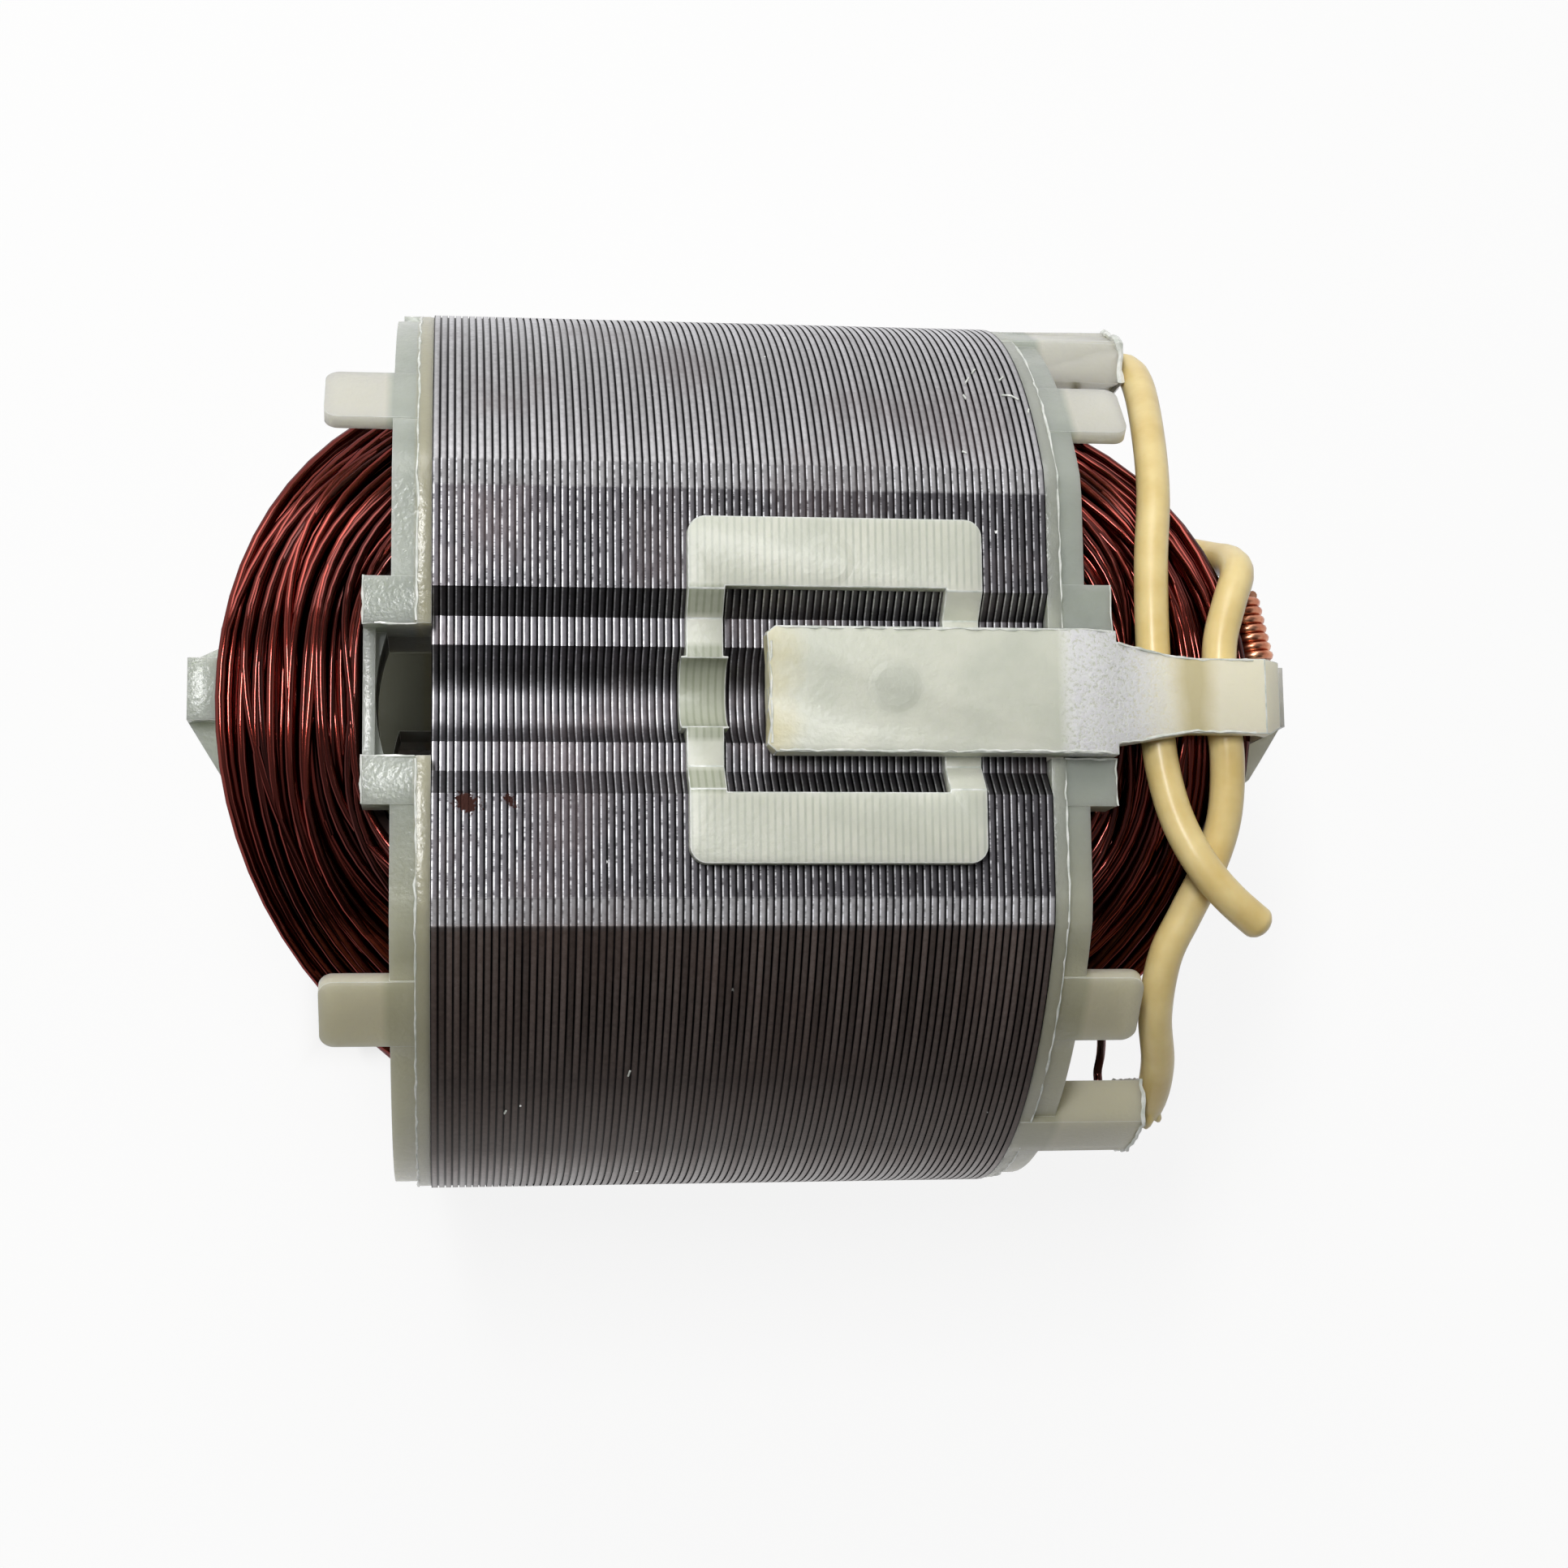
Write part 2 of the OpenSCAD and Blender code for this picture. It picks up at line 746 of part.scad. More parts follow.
lamination_stack();
plain_end_frame();
lead_end_frame();
front_coil();
rear_coil();
slot_liner(quadrants[0]);  // slot_liner_1
slot_liner(quadrants[1]);  // slot_liner_2
slot_liner(quadrants[2]);  // slot_liner_3
slot_liner(quadrants[3]);  // slot_liner_4
terminal(quadrants[0]);  // terminal_1
terminal(quadrants[1]);  // terminal_2
terminal(quadrants[2]);  // terminal_3
terminal(quadrants[3]);  // terminal_4
coil_tail(quadrants[0]);  // coil_tail_1
coil_tail(quadrants[1]);  // coil_tail_2
coil_tail(quadrants[2]);  // coil_tail_3
coil_tail(quadrants[3]);  // coil_tail_4
lead_clip();
lead_a();
lead_b();
wire_sleeve();
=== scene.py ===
# %% [markdown]
# # Wound stator of a universal motor
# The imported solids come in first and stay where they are. Steel, slot paper and terminals keep
# their solids and get a finish. Nylon mouldings are copied, merged and given soft edges, and the
# coils, tails, leads and copper sleeve are wound again from real wire.

# %% Load the solids
import math
import random

import bpy
from mathutils import Matrix, Vector


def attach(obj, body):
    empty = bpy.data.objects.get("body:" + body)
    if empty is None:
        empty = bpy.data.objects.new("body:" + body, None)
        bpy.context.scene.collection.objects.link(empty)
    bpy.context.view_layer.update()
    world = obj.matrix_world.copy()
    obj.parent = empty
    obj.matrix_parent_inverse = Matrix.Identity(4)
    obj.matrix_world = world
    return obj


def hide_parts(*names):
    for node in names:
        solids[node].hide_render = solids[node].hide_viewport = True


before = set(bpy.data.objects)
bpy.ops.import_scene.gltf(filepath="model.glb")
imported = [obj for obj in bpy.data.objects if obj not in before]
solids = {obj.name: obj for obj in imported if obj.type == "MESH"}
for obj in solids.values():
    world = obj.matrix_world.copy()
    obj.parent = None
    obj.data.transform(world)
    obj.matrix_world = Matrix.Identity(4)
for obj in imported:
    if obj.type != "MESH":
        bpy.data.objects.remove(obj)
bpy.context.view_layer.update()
MM = 0.001

# %% [markdown]
# ## Camera
# The photo looks almost straight down on the front flat. The camera was fitted to the stack's
# corners, so its turn, place and focal length are written here as plain numbers. The image is
# square, 1932 pixels wide, and the lens follows from the focal length in pixels.

# %% Camera
FOCAL_PX = 3201.9
IMAGE_PX = 1932
SENSOR_MM = 36
turn = Vector((-0.1311, 0.1274, 0.0047))
to_camera = Matrix.Rotation(turn.length, 3, turn.normalized())
eye_mm = to_camera.transposed() @ Vector((6.2803, -2.3468, 201.953))
bpy.ops.object.select_all(action="DESELECT")
bpy.ops.object.camera_add()
camera = bpy.context.object
camera.name = "photo_camera"
camera.matrix_world = Matrix.Translation(eye_mm * MM) @ to_camera.transposed().to_4x4()
camera.data.sensor_width = SENSOR_MM
camera.data.lens = SENSOR_MM * FOCAL_PX / IMAGE_PX
camera.data.clip_start = 0.005
camera.data.clip_end = 20
bpy.context.scene.camera = camera
print("camera in mm:", [round(c, 1) for c in eye_mm], "lens", round(camera.data.lens, 2))

# %% [markdown]
# ## Working with nodes
# Colours are noted as sRGB hex values, as a paint shop would, and turned to linear light by one
# function. Another small function adds a node with its settings and wires. Every pattern is drawn
# in millimetres on Object coordinates, so it stays on the piece from any side, and a noise of scale
# 0.5 has patches of about 2 mm.

# %% Node helpers
def paint(hex_colour):
    """Linear colour of an sRGB hex value."""
    parts = [int(hex_colour[i:i + 2], 16) / 255 for i in (1, 3, 5)]
    return [p / 12.92 if p <= 0.04045 else ((p + 0.055) / 1.055) ** 2.4 for p in parts] + [1.0]


def add(tree, kind, wires=None, **settings):
    """Adds a shader node of a kind. Each wire is a value for a socket or the output that feeds it."""
    made = tree.nodes.new("ShaderNode" + kind)
    for name, value in settings.items():
        setattr(made, name, value)
    for socket, value in (wires or {}).items():
        if isinstance(value, bpy.types.NodeSocket):
            tree.links.new(value, made.inputs[socket])
        else:
            made.inputs[socket].default_value = value
    return made


def start_finish(name):
    """New material with its shader, its coordinates in millimetres and their three parts."""
    finish = bpy.data.materials.new(name)
    finish.use_nodes = True
    tree = finish.node_tree
    shader = tree.nodes["Principled BSDF"]
    place = add(tree, "TexCoord").outputs["Object"]
    mm = add(tree, "VectorMath", {0: place, "Scale": 1000.0}, operation="SCALE").outputs[0]
    parts = add(tree, "SeparateXYZ", {0: mm})
    return finish, tree, shader, mm, parts.outputs


def set_ramp(made, stops):
    """Gives a colour ramp its stops, as (place, hex colour)."""
    ramp = made.color_ramp
    while len(ramp.elements) < len(stops):
        ramp.elements.new(0.5)
    for element, (place, colour) in zip(ramp.elements, stops):
        element.position = place
        element.color = paint(colour)
    return made.outputs[0]


def clouded(tree, shader, mm, stops, **noise):
    """Colours a shader in soft clouds of a few tones. A cloud is about 1 / Scale mm wide."""
    cloud = add(tree, "TexNoise", {"Vector": mm, **noise})
    ramp = add(tree, "ValToRGB", {0: cloud.outputs[0]})
    tree.links.new(set_ramp(ramp, stops), shader.inputs["Base Color"])


def tune(shader, sockets):
    """Sets plain values on a shader's own sockets."""
    for name, value in sockets.items():
        shader.inputs[name].default_value = value


def wear(piece, finish):
    """Gives a piece one finish."""
    piece.data.materials.clear()
    piece.data.materials.append(finish)


# %% [markdown]
# ## Leads
# Two cream wires of 2.4 mm start on the terminals' ends and run over the front coil under the
# strap. A cord is best drawn as one curve through a few chosen points, with a round section. The
# points are the ones of the solids, and the same smooth curve runs through them. The insulation was
# pushed back from the terminals into soft rings, and on lead B it is torn there into short tips.

# %% Helpers for wires
def pick(piece):
    """Selects one piece and makes it active."""
    bpy.ops.object.select_all(action="DESELECT")
    piece.select_set(True)
    bpy.context.view_layer.objects.active = piece


def spline_through(points, steps):
    """Smooth line through all the points, with some steps on each span."""
    points = [Vector(p) for p in points]
    line = []
    for i in range(len(points) - 1):
        a, b = points[max(i - 1, 0)], points[i]
        c, d = points[i + 1], points[min(i + 2, len(points) - 1)]
        for k in range(steps):
            u = k / steps
            line.append(0.5 * (2 * b + (c - a) * u + (2 * a - 5 * b + 4 * c - d) * u * u
                               + (3 * b - a - 3 * c + d) * u ** 3))
    return line + [points[-1]]


def wire_piece(name, lines, diameter, closed=False, smoothness=2, thickness=None):
    """Curve object with one round wire along each line, in millimetres, thicker or thinner by parts."""
    curve = bpy.data.curves.new(name, "CURVE")
    curve.dimensions = "3D"
    curve.bevel_depth = diameter / 2 * MM
    curve.bevel_resolution = smoothness
    curve.use_fill_caps = not closed
    for number, line in enumerate(lines):
        spline = curve.splines.new("POLY")
        spline.points.add(len(line) - 1)
        spline.points.foreach_set("co", [c for p in line for c in (p[0] * MM, p[1] * MM, p[2] * MM, 1)])
        if thickness:
            spline.points.foreach_set("radius", thickness[number])
        spline.use_cyclic_u = closed
        spline.use_smooth = True
    piece = bpy.data.objects.new(name, curve)
    bpy.context.scene.collection.objects.link(piece)
    return piece


def meshed(piece, degrees):
    """Makes a wire a mesh that looks smooth where its faces meet at less than an angle."""
    pick(piece)
    bpy.ops.object.convert(target="MESH")
    bpy.ops.object.shade_smooth_by_angle(angle=math.radians(degrees))


print("helpers for wires are ready")

# %% Lead routes
LEAD_D = 2.4
LEAD_A = [
    (29.15, 28, 11.6), (29.65, 28, 11.6), (30.25, 28, 11.6), (31.3, 27.6, 12.8), (31.3, 25.4, 15.8),
    (30.6, 20.6, 20.4), (29.9, 15.4, 23.8), (29, 10, 25.9), (28.7, 5, 26.7), (28.8, 0, 26.75),
    (29, -4, 26.75), (29.9, -8, 26.9), (31.4, -11.2, 27.2), (33.4, -13.6, 27), (36.2, -15.8, 26.2),
]
LEAD_B = [
    (29.15, -28, 11.6), (29.65, -28, 11.6), (30.25, -28, 11.6), (31.2, -27.2, 13), (30.9, -24.6, 16.6),
    (29.9, -21.2, 20), (30.1, -17.4, 22.3), (31.4, -14.4, 23.4), (32.8, -11.4, 24.4), (33.7, -8, 25.6),
    (33.8, -4, 26.5), (33.4, 0, 26.75), (33.5, 4, 26.65), (34.4, 7, 26.2), (35.5, 9.4, 24.8),
    (35.9, 10.9, 22), (35.6, 11.8, 19), (34.5, 12.8, 16.2), (33.4, 14.2, 13), (32.8, 15, 9),
]


def length_of(line):
    """Length of a line of points."""
    return sum((b - a).length for a, b in zip(line, line[1:]))


def domed(line, radius):
    """The line with closer points at its end, and the thickness that makes that end round."""
    end, back = line[-1], (line[-2] - line[-1]).normalized()
    line = [p for p in line if (p - end).length > radius]
    near = [radius * k / 7 for k in range(7, -1, -1)]
    thick = [1.0] * len(line) + [max(0.05, math.sqrt(1 - (1 - d / radius) ** 2)) for d in near]
    return line + [end + back * d for d in near], thick


def bunched(line, thick, swell):
    """Thickness with two rings where the insulation was pushed back from the terminal."""
    along, made = 0.0, []
    for k, part in enumerate(thick):
        along += (line[k] - line[k - 1]).length if k else 0.0
        rings = math.exp(-((along - 1.5) / 0.35) ** 2) + 0.6 * math.exp(-((along - 2.4) / 0.3) ** 2)
        made.append(part * (1 + swell * rings))
    return made


def tattered(name, root, ahead, radius):
    """Torn tips of insulation that stand off a lead where it was pulled back from the terminal."""
    luck = random.Random(41)
    across = ahead.cross(Vector((1, 0, 0))).normalized()
    tips = []
    for k in range(TIPS):
        angle = 2 * math.pi * k / TIPS + luck.uniform(-0.2, 0.2)
        out = across * math.cos(angle) + ahead.cross(across) * math.sin(angle)
        back, flare = luck.uniform(0.5, 1.3), luck.uniform(0.1, 0.5)
        tips.append([root + ahead * 0.6 + out * (radius - 0.35), root + out * radius,
                     root - ahead * back * 0.6 + out * (radius + flare * 0.7),
                     root - ahead * back + out * (radius + flare)])
    made = wire_piece(name, tips, TIP_D, smoothness=2, thickness=[TIP_TAPER] * TIPS)
    meshed(made, 50)
    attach(made, "root")
    return made


TIPS, TIP_D, TIP_TAPER = 11, 0.85, [1.0, 1.0, 0.75, 0.4]
torn_at = (Vector(LEAD_B[2]) + Vector(LEAD_B[3])) / 2
torn_ahead = (Vector(LEAD_B[4]) - Vector(LEAD_B[2])).normalized()
tatters = tattered("lead_b_tatters", torn_at, torn_ahead, LEAD_D / 2)
print(tatters.name, TIPS, "tips")

# %% Both leads
leads = {}
for name, route, swell in (("lead_a", LEAD_A, 0.06), ("lead_b", LEAD_B, 0.2)):
    line, thick = domed(spline_through(route, 8), 0.4 * LEAD_D)
    thick = bunched(line, thick, swell)
    lead = wire_piece(name + "_wire", [line], LEAD_D, smoothness=6, thickness=[thick])
    meshed(lead, 40)
    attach(lead, "root")
    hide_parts(name)
    leads[name] = lead
    print(name, "is", round(length_of(line), 1), "mm long")

# %% [markdown]
# Cream PVC insulation is extruded: even in colour, a little waxy, with a soft gloss that follows
# the wire. Faint cloudy patches keep it from looking like paint.

# %% Cream insulation
cream_finish, tree, shader, mm, axis = start_finish("cream_insulation")
clouded(tree, shader, mm, [(0.3, "#dcc27f"), (0.7, "#ecd79b")], Scale=0.35, Detail=3.0)
grain = add(tree, "TexNoise", {"Vector": mm, "Scale": 2.2, "Detail": 2.0})
bump = add(tree, "Bump", {"Height": grain.outputs[0], "Strength": 0.12, "Distance": 0.0001})
tree.links.new(bump.outputs[0], shader.inputs["Normal"])
tune(shader, {"Roughness": 0.34, "IOR": 1.53, "Subsurface Weight": 0.25,
              "Subsurface Radius": (1.0, 0.7, 0.35), "Subsurface Scale": 0.0008})
for cream_piece in [*leads.values(), tatters]:
    wear(cream_piece, cream_finish)
print("leads wear", cream_finish.name)

# %% [markdown]
# ## Lamination stack
# The stack is 83 punched sheets of electrical steel. The solid already has the fine line between
# each two sheets, so it only needs its finish. A punched edge has a bright sheared band and a dull
# torn band, and on the flats a burr whose white sparkle is a painted glint. The sheet's number gives each
# its own tone.

# %% Punched sheet steel: bands
SHEET_T = 0.5
STACK_L = 41.5
steel_finish, tree, shader, mm, axis = start_finish("punched_sheet_steel")
sheet = add(tree, "Math", {0: axis["X"], 1: 1 / SHEET_T, 2: STACK_L / 2 / SHEET_T}, operation="MULTIPLY_ADD")
number = add(tree, "Math", {0: sheet.outputs[0]}, operation="FLOOR").outputs[0]
across = add(tree, "Math", {0: sheet.outputs[0]}, operation="FRACT").outputs[0]
tone = add(tree, "TexWhiteNoise", {"W": number}, noise_dimensions="1D").outputs["Value"]
side = add(tree, "Math", {0: axis["Y"]}, operation="ABSOLUTE").outputs[0]
# 1 on the flats and in the keyways, 0 on the round sides
on_flat = add(tree, "MapRange", {0: side, 1: 15.7, 2: 15.5}).outputs[0]
# Sheared band, torn band and the dark line on the round sides, then the duller ones of the flats
round_ramp = add(tree, "ValToRGB", {0: across})
round_colour = set_ramp(round_ramp, [
    (0.12, "#0b0a0c"), (0.18, "#a4a3a5"), (0.36, "#bebdbf"), (0.70, "#aaa8aa"), (0.82, "#7e7c7f"),
    (0.89, "#0b0a0c")])
flat_ramp = add(tree, "ValToRGB", {0: across})
flat_colour = set_ramp(flat_ramp, [
    (0.12, "#0b0a0c"), (0.18, "#7a787c"), (0.45, "#68666a"), (0.80, "#4e4c50"), (0.89, "#0b0a0c")])
# The narrow facets beside the flats are rubbed bright
facet_in = add(tree, "MapRange", {0: side, 1: 13.7, 2: 13.9}).outputs[0]
facet = add(tree, "Math", {0: facet_in, 1: on_flat}, operation="MULTIPLY").outputs[0]
dull = add(tree, "Math", {0: facet, 1: -0.75, 2: on_flat}, operation="MULTIPLY_ADD").outputs[0]
base = add(tree, "Mix", {0: dull, 6: round_colour, 7: flat_colour}, data_type="RGBA")
print("bands drawn on", round(STACK_L / SHEET_T), "sheets")

# %% Punched sheet steel: burr
# The burr is a thread on one edge of each sheet of the flats, broken here and there, painted near white as a
# painted glint
own = add(tree, "Math", {0: number, 1: 7.31}, operation="MULTIPLY").outputs[0]
own_place = add(tree, "CombineXYZ", {"X": own, "Y": axis["Y"], "Z": axis["Z"]}).outputs[0]
breaks = add(tree, "TexNoise",
             {"Vector": own_place, "Scale": 1.3, "Detail": 5.0, "Roughness": 0.75})
kept = add(tree, "MapRange", {0: breaks.outputs[0], 1: 0.42, 2: 0.54}).outputs[0]
# In the keyways it runs on
past_key = add(tree, "MapRange", {0: side, 1: 6.7, 2: 7.0}).outputs[0]
unbroken = add(tree, "MapRange", {0: past_key, 3: 0.65, 4: 0.0}).outputs[0]
kept = add(tree, "Math", {0: kept, 1: unbroken}, operation="MAXIMUM").outputs[0]
band_in = add(tree, "MapRange", {0: across, 1: 0.12, 2: 0.17}).outputs[0]
band_out = add(tree, "MapRange", {0: across, 1: 0.36, 2: 0.27}).outputs[0]
burr = add(tree, "Math", {0: band_in, 1: band_out}, operation="MULTIPLY").outputs[0]
burr = add(tree, "Math", {0: burr, 1: kept}, operation="MULTIPLY").outputs[0]
burr_part = add(tree, "Math", {0: on_flat, 1: 0.95}, operation="MULTIPLY").outputs[0]
burr = add(tree, "Math", {0: burr, 1: burr_part}, operation="MULTIPLY").outputs[0]
painted_burr_glint = add(tree, "Mix", {0: burr, 6: base.outputs[2], 7: paint("#f6f6fa")}, data_type="RGBA")
print("burr drawn on the flats")

# %% Punched sheet steel: painted light and shade, and stains
# The painted light and shade below lie on the sheets and leave the gaps between them dark
sheet_out = add(tree, "MapRange", {0: across, 1: 0.88, 2: 0.8}).outputs[0]
on_sheet = add(tree, "Math", {0: band_in, 1: sheet_out}, operation="MULTIPLY").outputs[0]
# The top edge of the round side is painted lighter, a painted highlight from the lamp above it
painted_top_light = add(tree, "MapRange", {0: axis["Y"], 1: 25.0, 2: 32.5, 4: 0.75}).outputs[0]
painted_top_light = add(tree, "Math", {0: painted_top_light, 1: on_sheet}, operation="MULTIPLY").outputs[0]
painted_top_light_colour = add(tree, "Mix", {0: painted_top_light, 6: painted_burr_glint.outputs[2], 7: paint("#dcdbe0")}, data_type="RGBA")
# Fine mottling of about 0.4 mm, and faint brown stains of about 8 mm
grit = add(tree, "TexNoise", {"Vector": mm, "Scale": 2.4, "Detail": 4.0, "Roughness": 0.7})
stain = add(tree, "TexNoise", {"Vector": mm, "Scale": 0.13, "Detail": 3.0})
stained = add(tree, "MapRange", {0: stain.outputs[0], 1: 0.5, 2: 0.68, 4: 0.35}).outputs[0]
browned = add(tree, "Mix", {0: stained, 6: painted_top_light_colour.outputs[2], 7: paint("#6b5f60")}, data_type="RGBA")
# Painted shade: down the lower round side the sheets are painted browner, then almost black, for the dark
# they mirror, and less so at the bottom edge
painted_low_shade = add(tree, "MapRange", {0: axis["Y"], 1: -15.4, 2: -16.0, 4: 0.6}).outputs[0]
not_edge = add(tree, "MapRange", {0: axis["Y"], 1: -32.7, 2: -30.2, 3: 0.3}).outputs[0]
painted_low_shade = add(tree, "Math", {0: painted_low_shade, 1: not_edge}, operation="MULTIPLY").outputs[0]
painted_low_shade = add(tree, "Math", {0: painted_low_shade, 1: on_sheet}, operation="MULTIPLY").outputs[0]
low_shaded_colour = add(tree, "Mix", {0: painted_low_shade, 6: browned.outputs[2], 7: paint("#8a6a58")}, data_type="RGBA")
painted_deep_shade = add(tree, "MapRange", {0: axis["Y"], 1: -19.0, 2: -25.5, 4: 0.8}).outputs[0]
painted_deep_shade = add(tree, "Math", {0: painted_deep_shade, 1: not_edge}, operation="MULTIPLY").outputs[0]
low_shaded_colour = add(tree, "Mix", {0: painted_deep_shade, 6: low_shaded_colour.outputs[2], 7: paint("#1c1512")},
             data_type="RGBA")
# Each sheet is a little lighter or darker than its neighbours
tone_part = add(tree, "MapRange", {0: tone, 3: 0.84, 4: 1.08}).outputs[0]
grit_part = add(tree, "MapRange", {0: grit.outputs[0], 1: 0.3, 2: 0.7, 3: 0.8, 4: 1.15}).outputs[0]
tone_part = add(tree, "Math", {0: tone_part, 1: grit_part}, operation="MULTIPLY").outputs[0]
# The flats between keyway and facets are duller than the ledges in the keyway
duller = add(tree, "Math", {0: past_key, 1: facet_in}, operation="SUBTRACT").outputs[0]
duller = add(tree, "Math", {0: duller, 1: -0.25, 2: 1.0}, operation="MULTIPLY_ADD").outputs[0]
tone_part = add(tree, "Math", {0: tone_part, 1: duller}, operation="MULTIPLY").outputs[0]
toned = add(tree, "VectorMath", {0: low_shaded_colour.outputs[2], "Scale": tone_part}, operation="SCALE")
print("film and stains drawn")

# %% Punched sheet steel: flecks, spots and gloss
# White flecks of about 0.25 mm, some millimetres apart
flecks = add(tree, "TexVoronoi", {"Vector": mm, "Scale": 0.24})
fleck = add(tree, "MapRange", {0: flecks.outputs["Distance"], 1: 0.036, 2: 0.02}).outputs[0]
colour = add(tree, "Mix", {0: fleck, 6: toned.outputs[0], 7: paint("#f4f4f2")},
             data_type="RGBA").outputs[2]
# Two scorched spots beside the keyway
for spot, size in (((-18.4, -7.5, 29.4), 0.75), ((-15.6, -7.3, 29.4), 0.4)):
    away = add(tree, "VectorMath", {0: mm, 1: spot}, operation="DISTANCE").outputs["Value"]
    ragged = add(tree, "Math", {0: grit.outputs[0], 1: -2.6, 2: away}, operation="MULTIPLY_ADD")
    burnt = add(tree, "MapRange", {0: ragged.outputs[0], 1: size - 1.2, 2: size - 1.4}).outputs[0]
    colour = add(tree, "Mix", {0: burnt, 6: colour, 7: paint("#26120d")},
                 data_type="RGBA").outputs[2]
tree.links.new(colour, shader.inputs["Base Color"])
gloss = add(tree, "MapRange", {0: tone, 3: 0.36, 4: 0.5}).outputs[0]
gloss = add(tree, "Math", {0: facet, 1: 0.35, 2: gloss}, operation="MULTIPLY_ADD").outputs[0]
tree.links.new(gloss, shader.inputs["Roughness"])
# The burrs on the facets scatter light, so there the metal mirrors less
mirror = add(tree, "Math", {0: facet, 1: -0.6, 2: 0.9}, operation="MULTIPLY_ADD").outputs[0]
tree.links.new(mirror, shader.inputs["Metallic"])
bump = add(tree, "Bump", {"Height": grit.outputs[0], "Strength": 0.25, "Distance": 0.00005})
tree.links.new(bump.outputs[0], shader.inputs["Normal"])
wear(solids["lamination_stack"], steel_finish)
print("stack wears", steel_finish.name)

# %% [markdown]
# ## Natural nylon
# Natural nylon is milky and lets light in a few millimetres, so a shader with scattering under
# the surface and some clear transmission suits it. Thin tabs are also painted pale, as painted light
# from the table behind them, and walls near the axis, in front of the dark wire, grey as painted
# shade. Its moulded edges gather light and show as pale lines, so the rounded edges wear a lighter
# finish of their own, a painted highlight.

# %% Natural nylon: colour
nylon_finish, tree, shader, mm, axis = start_finish("natural_nylon")
cloud = add(tree, "TexNoise", {"Vector": mm, "Scale": 0.22, "Detail": 4.0})
ramp = add(tree, "ValToRGB", {0: cloud.outputs[0]})
milky = set_ramp(ramp, [(0.3, "#b4bbb0"), (0.7, "#c6ccc1")])
# Tabs, pockets and horns are thin and stand free, so they are painted paler than the rims, as painted light
# from the table behind them
reach = add(tree, "Math", {0: axis["X"]}, operation="ABSOLUTE").outputs[0]
side = add(tree, "Math", {0: axis["Y"]}, operation="ABSOLUTE").outputs[0]
past_rim = add(tree, "MapRange", {0: reach, 1: 23.4, 2: 24.0}).outputs[0]
off_middle = add(tree, "MapRange", {0: side, 1: 11.0, 2: 12.5}).outputs[0]
painted_backlight = add(tree, "Math", {0: past_rim, 1: off_middle}, operation="MULTIPLY").outputs[0]
far_out = add(tree, "MapRange", {0: axis["X"], 1: 29.0, 2: 31.0}).outputs[0]
painted_backlight = add(tree, "Math", {0: painted_backlight, 1: far_out}, operation="MAXIMUM").outputs[0]
milky = add(tree, "Mix", {0: painted_backlight, 6: milky, 7: paint("#efeddb")}, data_type="RGBA").outputs[2]
# The flange next to the steel is stained by oil, and the nylon is yellower towards the bottom
stain = add(tree, "MapRange", {0: reach, 1: 22.0, 2: 21.5, 4: 0.6}).outputs[0]
plain_end = add(tree, "MapRange", {0: axis["X"], 1: 1.0, 2: -1.0, 3: 0.2}).outputs[0]
stain = add(tree, "Math", {0: stain, 1: plain_end}, operation="MULTIPLY").outputs[0]
below = add(tree, "MapRange", {0: axis["Y"], 1: -6.0, 2: -20.0, 4: 0.5}).outputs[0]
stain = add(tree, "Math", {0: stain, 1: below}, operation="MAXIMUM").outputs[0]
stained = add(tree, "Mix", {0: stain, 6: milky, 7: paint("#d2c79a")}, data_type="RGBA").outputs[2]
# Nearer the axis, where the walls lie thin against the coil, they are painted dark as painted shade
across = add(tree, "CombineXYZ", {"Y": axis["Y"], "Z": axis["Z"]}).outputs[0]
from_axis = add(tree, "VectorMath", {0: across}, operation="LENGTH").outputs["Value"]
painted_inner_shade = add(tree, "MapRange", {0: from_axis, 1: 25.4, 2: 24.4, 4: 0.85}).outputs[0]
near_core = add(tree, "MapRange", {0: reach, 1: 29.0, 2: 27.0}).outputs[0]
painted_inner_shade = add(tree, "Math", {0: painted_inner_shade, 1: near_core}, operation="MULTIPLY").outputs[0]
shown = add(tree, "Mix", {0: painted_inner_shade, 6: stained, 7: paint("#6b6a58")}, data_type="RGBA").outputs[2]
tree.links.new(shown, shader.inputs["Base Color"])
print("nylon is coloured by place")

# %% Natural nylon: skin and edges
# Faint ripples of about 2 mm in the moulded skin, with a fine grain on them
ripple = add(tree, "TexNoise", {"Vector": mm, "Scale": 0.5, "Detail": 2.0}).outputs[0]
grain = add(tree, "TexNoise", {"Vector": mm, "Scale": 3.0, "Detail": 3.0}).outputs[0]
skin = add(tree, "Math", {0: ripple, 1: 1.2, 2: grain}, operation="MULTIPLY_ADD").outputs[0]
bump = add(tree, "Bump", {"Height": skin, "Strength": 0.4, "Distance": 0.0001})
tree.links.new(bump.outputs[0], shader.inputs["Normal"])
tune(shader, {"Roughness": 0.26, "IOR": 1.53, "Subsurface Weight": 0.85,
              "Subsurface Radius": (1.0, 1.0, 0.85), "Subsurface Scale": 0.0028,
              "Transmission Weight": 0.3})
# Painted highlight: the rounded edges and the flash wear a paler nylon for the light they gather
edge_highlight_finish, tree, shader, mm, axis = start_finish("nylon_edge_highlight")
clouded(tree, shader, mm, [(0.35, "#d3d9cf"), (0.65, "#fafbf6")], Scale=1.2, Detail=3.0)
tune(shader, {"Roughness": 0.22, "IOR": 1.53, "Transmission Weight": 0.15})
print("made", nylon_finish.name, "and", edge_highlight_finish.name)
